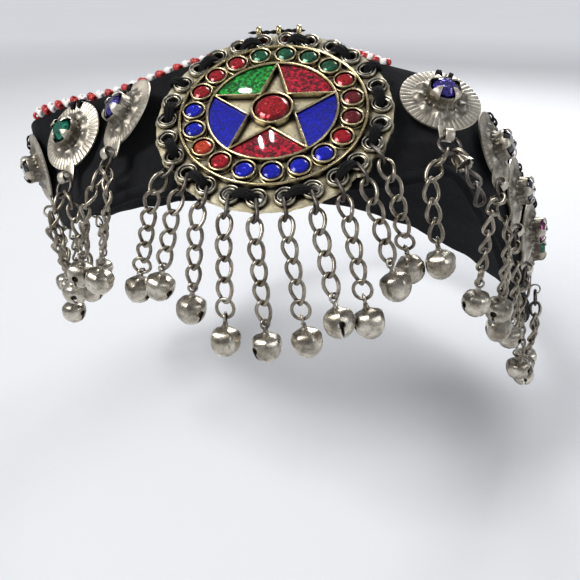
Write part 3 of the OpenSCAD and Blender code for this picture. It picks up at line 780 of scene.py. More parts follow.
# %% Medallion frame and plate
PLATE_R, DRUM_FLOOR = 31.2, 1.8
RING_ORBIT, STONE_ORBIT, STAR_R = 0.894 * PLATE_R, 20.69, 0.535 * PLATE_R
EYES, STONES = 26, 19
AXES = np.eye(3)
front, along_0, out_0, across_0 = at_station(0)[:4]
MEDALLION = (front - 1.0 * along_0 + 2.6 * across_0 + 1.3 * out_0, along_0, across_0, out_0)
MEDALLION_TURN = np.array(MEDALLION[1:4])


def turned_place(radius, angle, height=0.0, spin=0.0):
    """A place on the medallion by polar angle, turned to face outward along it."""
    middle, along, across, outward = MEDALLION
    a, b = math.radians(angle), math.radians(angle + spin)
    here = middle + radius * math.cos(a) * along + radius * math.sin(a) * across + height * outward
    return here, math.cos(b) * along + math.sin(b) * across, math.cos(b) * across - math.sin(b) * along, outward


def ring_angle(i):
    return 360 * i / EYES + 3 + 180 / EYES - 90


EYE_PLACES = [turned_place(RING_ORBIT, ring_angle(i)) for i in range(EYES)]
STONE_ANGLES = [103 - 360 * i / STONES for i in range(STONES)]


def dress(node, finish):
    """Gives a CAD node its finish and leaves its mesh alone."""
    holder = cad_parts[node]
    for place in holder.material_slots:
        place.link = "OBJECT"
        place.material = finish


dress("medallion_plate", cast_brass)
print("medallion centre in mm", np.round(MEDALLION[0], 1))

# %% [markdown]
# ## Pierced eyes
# Each of the 26 eyes in the border is a flared ring with a second, lower ring inside it.
# They are alike, so one eye is turned and Geometry Nodes set it out round the plate.
# Its edge swells unevenly, as in a casting, and each copy faces its own way. A flat dark
# ring fills the channel between its two rims: oxide, and painted shade in the channel.

# %% Eyes
EYE_SIDES = 36
eye_profile = [(2.62, 0.9), (2.68, 2.0), (2.62, 2.32), (2.47, 2.43), (2.32, 2.32), (2.26, 2.0), (2.24, 1.93),
               (2.0, 1.92), (1.88, 1.93), (1.84, 2.06), (1.74, 2.24), (1.62, 2.24), (1.5, 2.06), (1.46, 0.9)]
eye_grid = []
for r, z in eye_profile:
    swell, free = 0.07 if r > 2.2 else 0.12, z > 1
    eye_grid.append([((r + swell * math.sin(2 * a + 1) * free) * math.cos(a),
                      (r + swell * math.sin(3 * a) * 0.5 * free) * math.sin(a),
                      z + 0.08 * math.sin(a + 0.8) * free) for a in full_turn(EYE_SIDES)])
eye = make_piece("eye", skin(eye_grid, True))
channel = make_piece("channel", turned([(2.28, 1.9), (2.28, 1.97), (1.86, 1.97), (1.86, 1.9)], EYE_SIDES, True),
                     crease=30)
eyes = [set_out("eye_rings", eye, EYE_PLACES, bright_ring, seed=4),
        # A dark ring in each channel: oxide there, and painted shade between the rims.
        set_out("eye_channels", channel, EYE_PLACES, black_oxide_and_channel_shade, 30, seed=4)]
finish_piece(put_together("eye_rings", eyes))
discard(eye, channel)

# %% [markdown]
# ## Bright edges
# The bezels, the star and the drum all end in a thin edge that fingers have polished.
# A wire laid along each edge gives the highlight that a sharp CAD edge can't. Rims that
# repeat are set out by nodes, and the star and drum follow their own outlines.

# %% Bezel rims and star edges
STAR_NOTCH, STAR_TOP = 6.3, 3.2
rim = make_piece("rim", Bag().put(ring_wire(2.83, 0.24, 36, 8, 3.2)).put(ring_wire(3.02, 0.2, 36, 6, 1.9)))
bezel_rims = set_out("bezel_rims", rim, [turned_place(STONE_ORBIT, angle) for angle in STONE_ANGLES], pale_brass,
                     loose=0.02, seed=8)
discard(rim)
edges = Bag()
for radius, wire, around, height in ((5.24, 0.3, 48, 3.6), (STAR_R + 0.25, 0.3, 96, STAR_TOP), (24.3, 0.4, 120, 2.6)):
    edges.put(ring_wire(radius, wire, around, 8, height), MEDALLION)
star_corners = np.array([circle((STAR_R, STAR_NOTCH)[i % 2], [math.radians(89 + 36 * i)], STAR_TOP)[0]
                         for i in range(10)])
for i in range(10):
    a, b = star_corners[i], star_corners[(i + 1) % 10]
    way = [a + (b - a) * t + (0, 0, 0.04 * math.sin(9 * t + i)) for t in np.linspace(0, 1, 9)]
    edges.put(tube(way, 0.27, 8, first=(0, 0, 1)), MEDALLION)
star_edges = make_piece("star_edges", edges, [pale_brass])
finish_piece(put_together("polished_rims", [star_edges, bezel_rims]))

# %% [markdown]
# ## Stones of the medallion
# The glass is cut flat on top with a few facets round the table. A stone of this cut is
# three rings of points: the girdle, a half-turned middle and the table. An attribute
# tells the glass how near the girdle is, so painted shade can darken it there. Every
# stone is a piece of its own, so one can be recoloured without touching the rest.

# %% Cut stones
def cut_stone(radius, girdle, crown, sides, table):
    """A foil-backed stone with a flat table and two rows of facets."""
    turn = full_turn(sides)
    points = circle(radius * 0.97, turn) + circle(radius, turn, 0.15) + circle(radius, turn, girdle)
    points += circle(radius * (0.5 + 0.5 * table) * 1.04, turn + math.pi / sides, girdle + 0.5 * crown)
    points += circle(radius * table, turn, girdle + crown)
    faces = [list(range(sides))[::-1]]
    for row in (0, 1):
        faces += [[row * sides + k, row * sides + (k + 1) % sides, (row + 1) * sides + (k + 1) % sides,
                   (row + 1) * sides + k] for k in range(sides)]
    g, m, t = 2 * sides, 3 * sides, 4 * sides
    for k in range(sides):
        n = (k + 1) % sides
        faces += [[g + k, g + n, m + k], [m + k, g + n, m + n], [m + k, m + n, t + n], [t + k, m + k, t + n]]
    faces.append(list(range(t, t + sides)))
    return np.array(points), faces


def store_rim_shade(stone, place, radius):
    """Stores how near each point is to the girdle, for the painted shade at the edge of the glass."""
    spots = np.array([v.co for v in stone.data.vertices]) / MM - place[0]
    flat = spots - np.outer(spots @ place[3], place[3])
    away = np.linalg.norm(flat, axis=1) / radius
    stone.data.attributes.new("rim", "FLOAT", "POINT").data.foreach_set("value", np.clip(away, 0, 1))


def fit_stone(node, cut, place, colour, marked=True):
    """A cut stone in the place of a CAD node."""
    stone = make_piece("cut_" + node, Bag().put(cut_stone(*cut), place), [glasses[colour]], crease=12)
    if marked:
        store_rim_shade(stone, place, cut[0])
    finish_piece(stone, [node])


STONE_GAP = 0.15
rim_colours = [GREEN] * 4 + [RED, DARK_RED, DARK_RED, RED] + [BLUE] * 4 + [RED, "orange", BLUE, BLUE, RED, RED, RED]
for i, (colour, angle) in enumerate(zip(rim_colours, STONE_ANGLES)):
    fit_stone(f"rim_stone_{i + 1:02d}", (2.5, 0.9, 0.6, 12, 0.66),
              turned_place(STONE_ORBIT, angle, DRUM_FLOOR + STONE_GAP, 17 * i), colour)
fit_stone("centre_stone", (4.8, 1.2, 1.0, 16, 0.7), turned_place(0, 0, DRUM_FLOOR + STONE_GAP, 10), RED)

# %% [markdown]
# ## Resin panels
# Between the star's points, coloured resin was poured over glitter. It sets flat, lower
# than the walls, and CAD already holds those five shapes, so the panels stay as they are
# and only get their finish.

# %% Resin panels
for i, colour in enumerate((GREEN, BLUE, RED, BLUE, RED)):
    dress(f"star_inlay_{i + 1}", resins[colour])
print("resin panels dressed")

# %% [markdown]
# ## Lacing
# Black yarn holds the plate to the cloth. It comes up through one eye and goes down
# through the next, so most eyes are joined in pairs by a soft bar. Each bar is three
# strands on a low arch, laid beside each other, with loose fibres set out on them.

# %% Lacing yarn
LACED = (16, 14, 12, 10, 7, 5, 3, 1, 25, 23, 21, 19)
TAILS, TAIL_REACH = (8, 17), 32.4
yarn_dice = np.random.default_rng(11)
lacing = Bag()
fibre_places = []


def hole(i, inward=0.0):
    """The middle of an eye on the medallion, or a point a little inward of it."""
    return np.array(circle(RING_ORBIT - inward, [math.radians(ring_angle(i))])[0])


def lay_strand(start, end, top, swell):
    """A strand that rises from one hole, arches over the rims and goes down again."""
    side = unit(np.cross(end - start, (0, 0, 1)))
    for k in range(3):
        offset = (k - 1) * 0.74 + yarn_dice.uniform(-0.1, 0.1)
        way = []
        for t in np.linspace(0, 1, 15):
            rise = math.sin(math.pi * t) ** 0.5
            p = start + (end - start) * (0.04 + 0.92 * t) + side * offset * (0.55 + 0.45 * rise)
            wobble = yarn_dice.uniform(-0.07, 0.07)
            way.append(p + np.array([0, 0, -0.15 + (top + 0.22 * (k == 1)) * rise + wobble]))
        lacing.put(tube(way, [swell * (1 + yarn_dice.uniform(-0.1, 0.1)) for _ in way], 8, first=(0.2, 0.1, 1)),
                   MEDALLION)
        for p in way[2:-2]:
            for _ in range(5):
                lean = unit(yarn_dice.normal(size=3) * (1, 1, 0.5) + (0, 0, 0.45))
                x = unit(np.cross(lean, (0.3, 0.9, 0.2)))
                at = MEDALLION[0] + (p + lean * swell * 0.7) @ MEDALLION_TURN
                fibre_places.append((at, *(axis @ MEDALLION_TURN for axis in (x, np.cross(lean, x), lean))))


for i in LACED:
    lay_strand(hole(i, 0.2), hole(i - 1, 0.2), 3.2, 0.6)
for i in TAILS:
    lay_strand(hole(i, 0.3), hole(i) * (TAIL_REACH / RING_ORBIT), 2.75, 0.5)
yarn_bars = make_piece("yarn_bars", lacing, [black_yarn])
fibre = make_piece("fibre", tube([(0, 0, 0), (0.16, 0.06, 0.4), (0.42, 0.12, 0.75)], [0.05, 0.04, 0.02], 3,
                                 first=(1, 0, 0)))
fibres = set_out("fibres", fibre, fibre_places, black_yarn, loose=0.5, seed=12)
finish_piece(put_together("lacing_yarn", [yarn_bars, fibres]))
discard(fibre)

# %% [markdown]
# ## The cord through the loops
# A short waxed cord runs through the three brass loops. It is too short to hang, so it
# is a trim and not a free cord. Two plies twist round each other and taper at the
# ends.

# %% Loop cord
LOOP_STEP, CORD_START, CORD_LONG = 5.8, -9, 16.5
loop_at = np.array([-0.6, PLATE_R + 1.85, 0.72])
cord = Bag()
for ply in (0, math.pi):
    way, sizes = [], []
    for t in np.linspace(0, 1, 45):
        x = CORD_START + CORD_LONG * t
        thin = min(1.0, 0.35 + 5 * t, 0.3 + 6 * (1 - t))
        twist = ply + 1.5 * x
        way.append(loop_at + (x, 0.26 * thin * math.cos(twist) + 0.1 * math.sin(0.6 * x),
                              0.26 * thin * math.sin(twist)))
        sizes.append(0.33 * thin)
    cord.put(tube(way, sizes, 8, first=(0, 0, 1)), MEDALLION)
points, faces = turned([(0.88, -0.5), (1.1, -0.72), (1.42, -0.66), (1.63, -0.3), (1.66, 0.1), (1.5, 0.6),
                        (1.15, 0.72), (0.9, 0.5)], 28, True)
barrels = Bag()
for i in (-1, 0, 1):
    barrels.put((points @ AXES[::-1] + loop_at + (LOOP_STEP * i, 0, 0), faces), MEDALLION)
finish_piece(make_piece("brass_loops", barrels, [pale_brass], 60), ["top_loops"])
finish_piece(make_piece("waxed_loop_cord", cord, [black_cord]), ["loop_cord"])

# %% [markdown]
# ## Stamped discs
# Each disc is thin sheet pressed in a die: fine ribs round its outer band, a ring of
# bosses and a raised middle. A polar grid of points is lifted by the bosses in code, and
# a Geometry Nodes tree presses the ribs, because they repeat with the angle. The tree
# also stores the rib valleys and the zone round the cup: the metal paints shade into the
# valleys and reads the zone round the cup as tarnish. One stamping serves all ten discs,
# as in the workshop.

# %% Disc stamping
BOSSES, BOSS_ORBIT, SHEET_SIDES, SHEET_THICK = 9, 6.4, 180, 0.45


def lift_of(r, a):
    """The height of the stamped sheet at a radius and an angle."""
    dome = 0.85 * (0.5 + 0.5 * math.cos(math.pi * min(1, max(0, (r - 4.6) / 3.0))))
    near = (a * BOSSES / (2 * math.pi)) % 1 - 0.5
    boss = 0.85 * math.exp(-((r - 6.45) / 0.95) ** 2 - (near * 2 * math.pi * BOSS_ORBIT / BOSSES / 1.25) ** 2)
    sag = -0.25 * max(0.0, (r - 8.0) / 3.0) ** 2
    return 0.62 + dome + boss + sag


radii = [0.0, 2.0, 3.6, 4.4, 4.9, 5.3, 5.7, 6.1, 6.45, 6.8, 7.2, 7.5, 7.8, 8.1, 8.5, 9.0, 9.6, 10.2, 10.7, 10.93, 11.0]
sheet_rows = [[(r * math.cos(a), r * math.sin(a), lift_of(r, a) - under) for a in full_turn(SHEET_SIDES)]
              for under, order in ((0, radii), (SHEET_THICK, radii[::-1])) for r in order]
sheet_form = make_piece("disc_sheet", skin(sheet_rows), [white_metal], 55)

RIBS, given = new_tree("press ribs", [
    ("Ribs", "Float", 60.0), ("Depth", "Float", 0.0001), ("Inner", "Float", 0.0078), ("Outer", "Float", 0.0108),
    ("Finish", "Material", None)])
spot = add(RIBS, "GeometryNodeInputPosition").outputs[0]
xyz = add(RIBS, "ShaderNodeSeparateXYZ", {0: spot}).outputs
bearing = calc(RIBS, "ARCTAN2", xyz["Y"], xyz["X"])
wave = calc(RIBS, "COSINE", calc(RIBS, "MULTIPLY", bearing, given["Ribs"]))
flat_spot = add(RIBS, "ShaderNodeVectorMath", {0: spot, 1: (1, 1, 0)}, operation="MULTIPLY").outputs[0]
away = add(RIBS, "ShaderNodeVectorMath", {0: flat_spot}, operation="LENGTH").outputs["Value"]
reach = calc(RIBS, "MULTIPLY_ADD", noise(RIBS, spot, 260.0, 1.0, 0.5), -0.0045, away)
inside = calc(RIBS, "MULTIPLY", calc(RIBS, "SUBTRACT", reach, given["Inner"]), 1200.0, use_clamp=True)
band = calc(RIBS, "MULTIPLY", inside, calc(RIBS, "LESS_THAN", away, given["Outer"]))
pressed_in = calc(RIBS, "MULTIPLY", calc(RIBS, "MULTIPLY", wave, given["Depth"]), band)
# Painted shade in the rib valleys, joined below with tarnish in the zone round the cup.
rib_valley_shade = calc(RIBS, "MULTIPLY", calc(RIBS, "MULTIPLY", wave, -2.0), band, use_clamp=True)
rib_shade_and_cup_tarnish_mask = calc(RIBS, "MAXIMUM", calc(RIBS, "MULTIPLY", rib_valley_shade, 0.45), span(RIBS, reach, 0.0066, 0.0046))
marked = add(RIBS, "GeometryNodeStoreNamedAttribute",
             {"Geometry": given["Start"], "Name": "valley", "Value": rib_shade_and_cup_tarnish_mask}, data_type="FLOAT", domain="POINT")
push = add(RIBS, "ShaderNodeCombineXYZ", {"Z": pressed_in})
moved = add(RIBS, "GeometryNodeSetPosition", {"Geometry": marked.outputs[0], "Offset": push.outputs[0]})
close_tree(RIBS, moved.outputs[0], given["Finish"])
run_tree(sheet_form, RIBS, {"Ribs": 45.0, "Depth": 0.00016, "Inner": 0.0052, "Outer": 0.0108, "Finish": white_metal})
print("disc stamping", len(sheet_form.data.polygons), "faces")

# %% [markdown]
# ## Collet, claws, tab and stone
# A cup with a crimped foot is soldered to each disc. It is more tarnished than the disc,
# so it has a finish of its own. Four claws rise from its wall, fold over the stone and
# taper to a point. Below the disc a strip narrows and curls forward into a loop for the
# jump ring. Strips are swept with a flat section, and the claw's path is a hook.

# %% Collet and tab
CURL_Y, CURL_Z, CURL_R = -15.2, 2.1, 1.75


def strip(path, widths, thick):
    """A flat strip along (Y, Z) points, wide along X, with rounded edges."""
    path = np.array([(0, y, z) for y, z in path], float)
    e, rows = thick / 2, []
    for p, d, w in zip(path, np.gradient(path, axis=0), widths):
        n, h = unit(np.array([0, -d[2], d[1]])), w / 2
        shape = [(-h + e, -e), (h - e, -e), (h, -e * 0.4), (h, e * 0.4), (h - e, e), (-h + e, e), (-h, e * 0.4),
                 (-h, -e * 0.4)]
        rows.append([p + np.array([x, 0, 0]) + z * n for x, z in shape])
    first, last = ([np.mean(row, 0)] * 8 for row in (rows[0], rows[-1]))
    return skin([first, *rows, last])


fittings = Bag()
cup = [(0, 1.0, 0), (5.2, 1.05, 0.32), (5.1, 1.35, 0.32), (4.6, 1.75, 0.2), (4.4, 2.2, 0.06), (4.38, 3.6, 0),
       (4.42, 4.2, 0), (4.3, 4.42, 0), (4.05, 4.45, 0), (3.85, 4.3, 0), (3.72, 3.8, 0), (3.6, 2.5, 0), (0, 2.4, 0)]
fittings.put(skin([fluted(r, z, pleat, 18, 96) for r, z, pleat in cup]), slot=1)
claw = strip([(4.16, 3.4), (4.24, 4.2), (4.24, 4.7), (4.0, 5.15), (3.55, 5.5), (2.9, 5.78), (2.1, 5.88)],
             [3.0, 3.0, 2.8, 2.4, 1.9, 1.2, 0.4], 0.38)
for a in np.radians([45, 135, 225, 315]):
    fittings.put(claw, (np.zeros(3), (math.cos(a), math.sin(a), 0), (-math.sin(a), math.cos(a), 0), AXES[2]))
tab = [(-10.2, 0.62), (-11.6, 0.5), (-13.2, 0.42), (-14.6, 0.4)]
tab += [(CURL_Y + CURL_R * math.cos(a + math.pi), CURL_Z + CURL_R * math.sin(a))
        for a in np.radians(range(-90, -361, -20))]
fittings.put(strip(tab, np.interp(range(len(tab)), [0, 3, 6, len(tab) - 1], [3.6, 3.0, 2.4, 2.2]), 0.5))
fitting_form = make_piece("disc_fittings", fittings, [white_metal, cup_metal], 50)
bpy.context.view_layer.update()
stamping = put_together("stamping", [sheet_form, fitting_form])
print("one disc", len(stamping.data.polygons), "faces")

# %% [markdown]
# ## Ten discs in place
# Each disc sits on the band at its own station, turned and tipped a little as in the
# photograph. Its mesh is a copy of the stamping carried there by a matrix, so the object
# itself stays at the origin.

# %% Discs and their stones
# station, lift, turn, tip, above, roll, first drop, second drop
# a drop is links, ringed, outward slope, sideways slope, belled
DISC_ROWS = [
    [43, 3.2, -17, -2, 8, -8, [5, 0, .14, .20, 1], [3, 0, -.10, .30, 0]],
    [66.5, 2.2, 0, -4, 8, -8, [5, 1, .03, -.03, 1], [5, 0, .03, .01, 1]],
    [89, 1.8, 0, 0, 8, -5, [5, 0, .06, -.04, 1], [4, 1, .03, .09, 1]],
    [112, 2.1, 0, 0, 8, 0, [5, 1, .17, .05, 1], [5, 1, .17, .12, 1]],
    [136, 1.9, 0, 0, 8, 0, [4, 0, -.05, .09, 1], [4, 0, -.04, .25, 1]],
    [-44, 4.8, -17, 0, 8, 6, [4, 1, .12, -.18, 1], [5, 1, .13, -.22, 1]],
    [-67, 3.3, 10, -6, 7, 12, [5, 0, -.20, .03, 1], [5, 0, -.01, .02, 1]],
    [-93, 2.0, 0, 0, 3, 14, [3, 0, -.09, .08, 1], [5, 0, .07, .09, 1]],
    [-119, 1.9, 0, 0, 6, 0, [4, 0, .11, -.09, 1], [4, 0, .11, .05, 1]],
    [-143, 1.9, 0, 0, 7, 0, [5, 0, .12, -.08, 1], [5, 0, .14, .08, 1]]]
DISC_NAMES = [f"{hand}_{k}" for hand in ("right", "left") for k in range(1, 6)]
DISC_GLASS = ["violet", "smoke", "smoke", "magenta", "teal", "violet", "teal", "smoke", "magenta", "violet"]
CUP_TOP, STONE_SINK = 4.4, 1.6


def disc_place(station, lift, turn_by, tip, above, roll):
    """The centre and axes of a disc after its turn, tip and roll."""
    here, along, outward, across = at_station(station)[:4]
    a, e, r = (math.radians(v) for v in (turn_by, tip, roll))
    x = math.cos(a) * along + math.sin(a) * math.sin(e) * across - math.sin(a) * math.cos(e) * outward
    y = math.cos(e) * across + math.sin(e) * outward
    z = math.sin(a) * along - math.cos(a) * math.sin(e) * across + math.cos(a) * math.cos(e) * outward
    return (here + above * across + lift * outward, math.cos(r) * x + math.sin(r) * y,
            math.cos(r) * y - math.sin(r) * x, z)


def carry(place):
    """The matrix that takes a part from its own frame to a place, in metres."""
    return Matrix.Translation(Vector(place[0]) * MM) @ Matrix(np.array(place[1:4]).T.tolist()).to_4x4()


DISC_PLACES = [disc_place(*row[:6]) for row in DISC_ROWS]
for name, glass, place in zip(DISC_NAMES, DISC_GLASS, DISC_PLACES):
    disc = new_object("stamped_disc_" + name, stamping.data.copy())
    disc.data.name = disc.name
    disc.data.transform(carry(place))
    finish_piece(disc, ["disc_" + name])
    seat = (place[0] + (CUP_TOP - STONE_SINK + STONE_GAP) * place[3], *place[1:])
    fit_stone("disc_stone_" + name, (3.5, 1.7, 1.0, 12, 0.6), seat, glass, marked=False)
discard(stamping)

# %% [markdown]
# ## Stitches over the discs
# Black thread passes over the top edge of each disc and holds it to the cloth. Each
# stitch is three strands that start in a hole near the edge and dive behind it.

# %% Disc stitches
sewing = Bag()
for k, place in enumerate(DISC_PLACES):
    for a in np.radians((96, 112) if k % 2 else (70, 88)):
        for strand in (-0.38, 0, 0.38):
            way = [(r * math.cos(a) - strand * math.sin(a), r * math.sin(a) + strand * math.cos(a), z) for r, z in
                   ((8.9, 0.35), (9.0, 1.0), (9.8, 1.25), (10.8, 1.1), (11.5, 0.6), (11.75, -0.3), (11.6, -1.4))]
            sewing.put(tube(way, 0.26, 6, first=(math.sin(a), -math.cos(a), 0.1)), place)
finish_piece(make_piece("disc_stitches", sewing, [black_yarn]))

# %% [markdown]
# ## Drop chains
# The drops are curb chain: every link is twisted a quarter turn from end to end, so all
# of them face the same way and lie flat. One link is an oval path with that twist in
# it. Geometry Nodes set links out along each drop's points, which come from the same
# rule as in CAD: start at the eye or the jump ring, then hang.

# %% Where each drop hangs
PITCH, WIRE = 5.1, 0.85
JUMP_R, JUMP_WIRE = 2.8, 0.5
FIRST_EYE = 21
# links, ringed, outward slope, sideways slope, links that lie flat first
DROP_ROWS = [[6, 1, -.03, -.31, .75], [5, 0, .06, -.26, 0], [5, 0, .11, -.08, 0], [5, 1, .25, .06, 0],
             [6, 0, .13, .12, 0], [5, 1, .20, .20, 0], [5, 0, .34, .24, 0], [5, 1, .30, .22, 0],
             [5, 0, .23, .31, 0], [5, 1, -.03, .27, .75]]


def hang(p, out, side):
    """The way a drop falls, by its slopes out of the head's middle and sideways."""
    o = unit(np.array([p[0], p[1], 0]))
    return unit(np.array([out * o[0] - side * o[1], out * o[1] + side * o[0], -1]))


def walk(p, leave, fall, links, flat):
    """The ends of the links, from the way they leave to the way they fall."""
    points = [p]
    for i in range(links):
        w = max(0, min(1, (i - flat) / 1.5))
        points.append(points[-1] + PITCH * unit((1 - w) * leave + w * fall))
    return points


def medallion_drop(i):
    """Points, facing, ringed and belled, for one drop of the medallion."""
    links, ringed, out, side, flat = DROP_ROWS[i]
    start, ray = turned_place(RING_ORBIT, ring_angle((FIRST_EYE + i) % EYES), 0.95)[:2]
    leave = unit(0.4 * ray - 0.6 * MEDALLION[2])
    return walk(start + WIRE / 2 * leave, leave, hang(start, out, side), links, flat), MEDALLION[3], ringed, 1


def jump_ring_place(k):
    """A jump ring hangs in the curl of its disc's tab."""
    place = DISC_PLACES[k]
    return (place[0] + (CURL_Y - 0.4 - JUMP_R) * place[2] + CURL_Z * place[3], *place[1:])


def disc_drop(k, hand):
    """The same as for the medallion, for a disc's drop to one hand."""
    links, ringed, out, side, belled = DISC_ROWS[k][6 if hand < 0 else 7]
    centre, x, y, z = jump_ring_place(k)
    leave = hand * math.sin(math.radians(28)) * x - math.cos(math.radians(28)) * y
    start = centre + (JUMP_R - JUMP_WIRE + 0.1) * leave
    return walk(start, leave, hang(start, out, side), links, 0.75), z, ringed, belled


DISCS_OF = {"medallion": (), "right_disc": range(5), "left_disc": range(5, 10)}
drops = {name: [disc_drop(k, hand) for k in discs for hand in (-1, 1)] for name, discs in DISCS_OF.items()}
drops["medallion"] = [medallion_drop(i) for i in range(len(DROP_ROWS))]
print({name: sum(len(d[0]) - 1 for d in group) for name, group in drops.items()}, "links")

# %% [markdown]
# ## Links and rings
# Four small parts make every drop: the twisted link, the first link that turns from the
# eye into the chain, the end ring and the jump ring. Each chain gets its own small spin
# and drift, because no two chains settle alike, and then the parts are set out in runs.

# %% Chain parts
LINK_REACH, LINK_SPREAD, LINK_WIRE_R = 3.0, 1.75, 0.49
END_RING_R, OVERLAP = 2.3, 0.4


def oval_link(start_turn, end_turn):
    """An oval link along X whose plane turns from one end to the other."""
    path = []
    for t in full_turn(20):
        u = LINK_REACH * math.copysign(abs(math.cos(t)) ** 0.9, math.cos(t))
        w = LINK_SPREAD * math.copysign(abs(math.sin(t)) ** 0.85, math.sin(t))
        a = math.radians(start_turn + (end_turn - start_turn) * (u / LINK_REACH + 1) / 2)
        path.append((u, w * math.cos(a), w * math.sin(a)))
    return tube(path, LINK_WIRE_R, 7, closed=True)


def facing_frame(d, face, spin=0.0):
    """Along the chain, across it and out of it, turned by a spin round the chain."""
    z = unit(face - (face @ d) * d)
    y = np.cross(z, d)
    c, s = math.cos(spin), math.sin(spin)
    return d, c * y + s * z, c * z - s * y


link_form = make_piece("curb_link", oval_link(-45, 45))
entry_form = make_piece("entry_link", oval_link(90, 45))
end_ring_form = make_piece("end_ring", ring_wire(END_RING_R, 0.45, 28))
jump_form = make_piece("jump_ring", ring_wire(JUMP_R, JUMP_WIRE, 36))
twist_dice = np.random.default_rng(21)
bell_places = {}
FRONT = np.array([0.12, -0.93, 0.34])
SLOT_TURNS = np.radians([62, 58, 52, 96, -48, 88, 8, 100, 84, 60])
CHAIN_SPINS = [-0.55, -0.3, -0.25, 0.2, 0.1, 0.4, 0.35, 0.55, 0.5, 0.6]
for name, group in drops.items():
    on_disc = name != "medallion"
    links, entries, dark, rings, bells, loops = ([] for _ in range(6))
    for number, (points, face, ringed, belled) in enumerate(group):
        spin, drift = twist_dice.uniform(-0.25, 0.45), twist_dice.uniform(-0.08, 0.08)
        spin = spin if on_disc else CHAIN_SPINS[number]
        for i, (start, end) in enumerate(zip(points, points[1:])):
            d = unit(end - start)
            at = ((start + end) / 2, *facing_frame(d, face, spin + drift * i))
            # Links of a drop without a bell go dark: painted shade, as that drop hangs in shadow.
            (entries if i == 0 else links if belled else dark).append(at)
        if ringed:
            rings.append((end + (END_RING_R - OVERLAP) * d, *facing_frame(d, face, spin)))
            foot, bar = end + (2 * END_RING_R - OVERLAP) * d, 0.0
        else:
            foot, bar = end + WIRE / 2 * d, math.radians(45) + spin + drift * i
        if belled:
            d, y, z = facing_frame(d, face, bar)
            loops.append((foot, d, -z, y))
            toward = unit(FRONT - (FRONT @ d) * d)
            turn_by = twist_dice.uniform(0, math.pi) if on_disc else SLOT_TURNS[number]
            mouth = math.cos(turn_by) * toward + math.sin(turn_by) * np.cross(toward, d)
            bells.append((foot, d, mouth, np.cross(d, mouth)))
    bell_places[name] = (bells, loops)
    jumps = [jump_ring_place(k) for k in DISCS_OF[name]]
    runs = [("jumps", jump_form, jumps, dark_iron_and_link_shade, 0.0, 32),
            ("entries", entry_form, entries, aged_steel if on_disc else dark_iron_and_link_shade, 0.05, 31),
            ("links", link_form, links, aged_steel, 0.05, 33),
            ("end_rings", end_ring_form, rings, aged_steel, 0.08, 34),
            ("dark_links", link_form, dark, dark_iron_and_link_shade, 0.05, 35)]
    parts = [set_out(label, form, places, finish, loose=free, seed=seed)
             for label, form, places, finish, free, seed in runs if places]
    finish_piece(put_together(name + "_drop_chains", parts), [name + "_chains"])
discard(link_form, entry_form, end_ring_form, jump_form)

# %% [markdown]
# ## Jingle bells
# A jingle bell is a thin hammered shell with broad shoulders, slotted across the bottom,
# and the slot ends in a round hole on either side. A ring of points drawn towards a
# polygon gives the hammered flats. Booleans hollow the shell, slot it and pierce it.
# Three variants are cut once each, so that neighbours differ as handwork does.

# %% One bell
LOOP_R, LOOP_WIRE, NECK, BELL_R = 1.15, 0.32, 1.2, 3.8
BELL_AT = LOOP_R + LOOP_WIRE + NECK + BELL_R
CORE_HALF, CORE_R, SLOT_HALF, HOLE_R = 3.2, 2.95, 0.4, 0.95
# distance from the loop, radius and share of the hammering
BELL_PROFILE = [(1.05, 0.02, 0), (1.08, 0.6, 0), (1.6, 0.64, 0), (2.1, 0.8, 0), (2.45, 1.2, 0), (2.68, 1.85, 0.6),
                (2.95, 2.65, 0.9), (3.35, 3.3, 1.0), (3.95, 3.75, 0.9), (4.8, 3.95, 0.6), (5.7, 3.95, 0.4),
                (6.6, 3.86, 0.4), (7.5, 3.62, 0.5), (8.3, 3.22, 0.55), (9.0, 2.6, 0.6), (9.6, 1.75, 0.4),
                (9.98, 0.85, 0.2), (10.06, 0.02, 0)]
BOX_FACES = [[0, 1, 3, 2], [4, 6, 7, 5], [0, 4, 5, 1], [2, 3, 7, 6], [0, 2, 6, 4], [1, 5, 7, 3]]


def bell_ring(x, r, flat, sides=5):
    """A circle drawn towards a polygon, as hammering leaves it."""
    part = 2 * math.pi / sides
    row = []
    for a in full_turn(60) + 0.02:
        corner = math.cos(part / 2) / math.cos(a % part - part / 2)
        size = r * (1 - flat + flat * corner)
        row.append((x, size * math.cos(a), size * math.sin(a)))
    return row


def closed_shell(rows):
    """A skin over rings of points, with its two ends closed."""
    points, faces = skin(rows)
    n, m = len(rows), len(rows[0])
    return points, faces + [list(range(m)), list(range(n * m - m, n * m))]


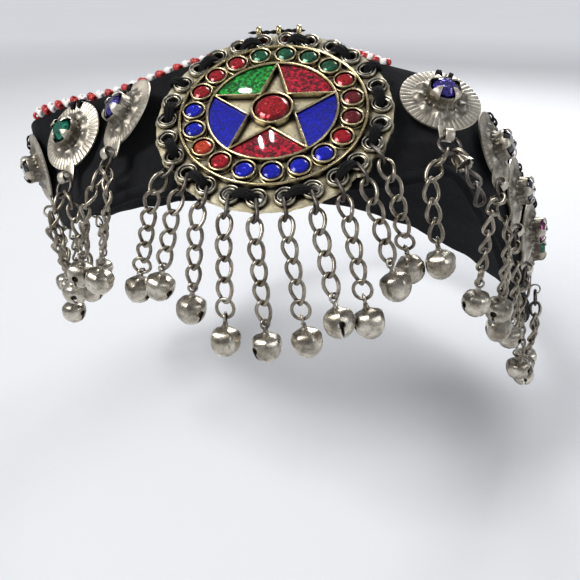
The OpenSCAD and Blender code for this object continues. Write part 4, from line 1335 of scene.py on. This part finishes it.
def cut_bell(name, sides, hammered):
    """One bell: a hammered shell, hollowed, slotted and pierced at both ends of the slot."""
    outer = [bell_ring(x, r, hammered * flat, sides) for x, r, flat in BELL_PROFILE]
    inner = [bell_ring(BELL_AT - CORE_HALF * math.cos(a), max(0.02, CORE_R * math.sin(a)), 0.2)
             for a in np.radians([179.5, 160, 140, 120, 100, 80, 60, 40, 20, 0.5])]
    corners = [(BELL_AT + 2.4 + 3.0 * i, 4.5 * j, SLOT_HALF * k) for i in (-1, 1) for j in (-1, 1)
               for k in (-1, 1)]
    holes = Bag()
    for side in (-1, 1):
        holes.put(closed_shell([[(BELL_AT - 0.5 + HOLE_R * math.cos(a), y, HOLE_R * math.sin(a))
                                 for a in full_turn(18)] for y in (side * 2.2, side * 5.0)]))
    form = make_piece(name, closed_shell(outer), [bell_metal], 35)
    for label, shape in (("core", closed_shell(inner)), ("slot", (corners, BOX_FACES)), ("holes", holes)):
        tool = make_piece(label, shape)
        cut = form.modifiers.new(label, "BOOLEAN")
        cut.operation, cut.solver, cut.object = "DIFFERENCE", "EXACT", tool
        graph = bpy.context.evaluated_depsgraph_get()
        made = bpy.data.meshes.new_from_object(form.evaluated_get(graph), depsgraph=graph)
        form.modifiers.remove(cut)
        form.data = made
        discard(tool)
    assert form.data.polygons, "a cut left no faces"
    return form


shell_forms = [cut_bell(f"bell_{sides}", sides, hammered) for sides, hammered in ((5, 0.75), (7, 0.95), (6, 0.6))]
loop_form = make_piece("bell_loop", ring_wire(LOOP_R, LOOP_WIRE, 20, 6), [bell_metal])
print("one bell", len(shell_forms[0].data.polygons), "faces, size in mm",
      [round(v / MM, 1) for v in shell_forms[0].dimensions])

# %% [markdown]
# ## Bells under the chains
# Every bell hangs from its own small wire loop, which crosses the last link or ring. The
# loop must face that link, but the bell below is free to turn, so loops and shells are
# set out by separate lists of places.

# %% Bells under the chains
for name, (bells, loops) in bell_places.items():
    parts = [set_out(name + "_jingles", form, bells[k::3], bell_metal, 24, loose=0.04, seed=41 + k)
             for k, form in enumerate(shell_forms)]
    parts.append(set_out(name + "_bell_loops", loop_form, loops, bell_metal, seed=45))
    finish_piece(put_together(name + "_jingles", parts), [name + "_bells"])
    print(name, len(bells), "bells")
discard(*shell_forms, loop_form)

# %% [markdown]
# ## A bead cap without its bell
# One drop on the first right-hand disc lost its bell: it carries a fluted cap over its
# first link and two links below, dark with painted shade, as they hang in shadow. The cap
# is a cone whose edge is scalloped into eight petals, turned with a wave in its radius.

# %% Fluted cap
cap_profile = [(0.5, 0, 0), (0.9, -0.1, 0), (1.3, 0.5, 0.06), (1.75, 1.5, 0.14), (2.15, 2.6, 0.2), (2.3, 3.1, 0.24),
               (2.2, 3.15, 0.24), (2.0, 2.6, 0.2), (1.55, 1.5, 0.14), (1.1, 0.6, 0.06), (0.5, 0.25, 0)]
points, face = drops["right_disc"][1][:2]
d, y, z = facing_frame(unit(points[1] - points[0]), face)
cap = skin([fluted(r, h, depth, 8, 64, 0.3) for r, h, depth in cap_profile], True)
cap_bag = Bag().put(cap, (points[0] + 1.4 * d, y, z, d))
finish_piece(make_piece("fluted_cap", cap_bag, [bell_metal], 60))

# %% [markdown]
# Looks must not change the measured object. The box of the dressed model is printed in
# millimetres.

# %% Size
low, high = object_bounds()
print("visual box", in_mm(low, high))
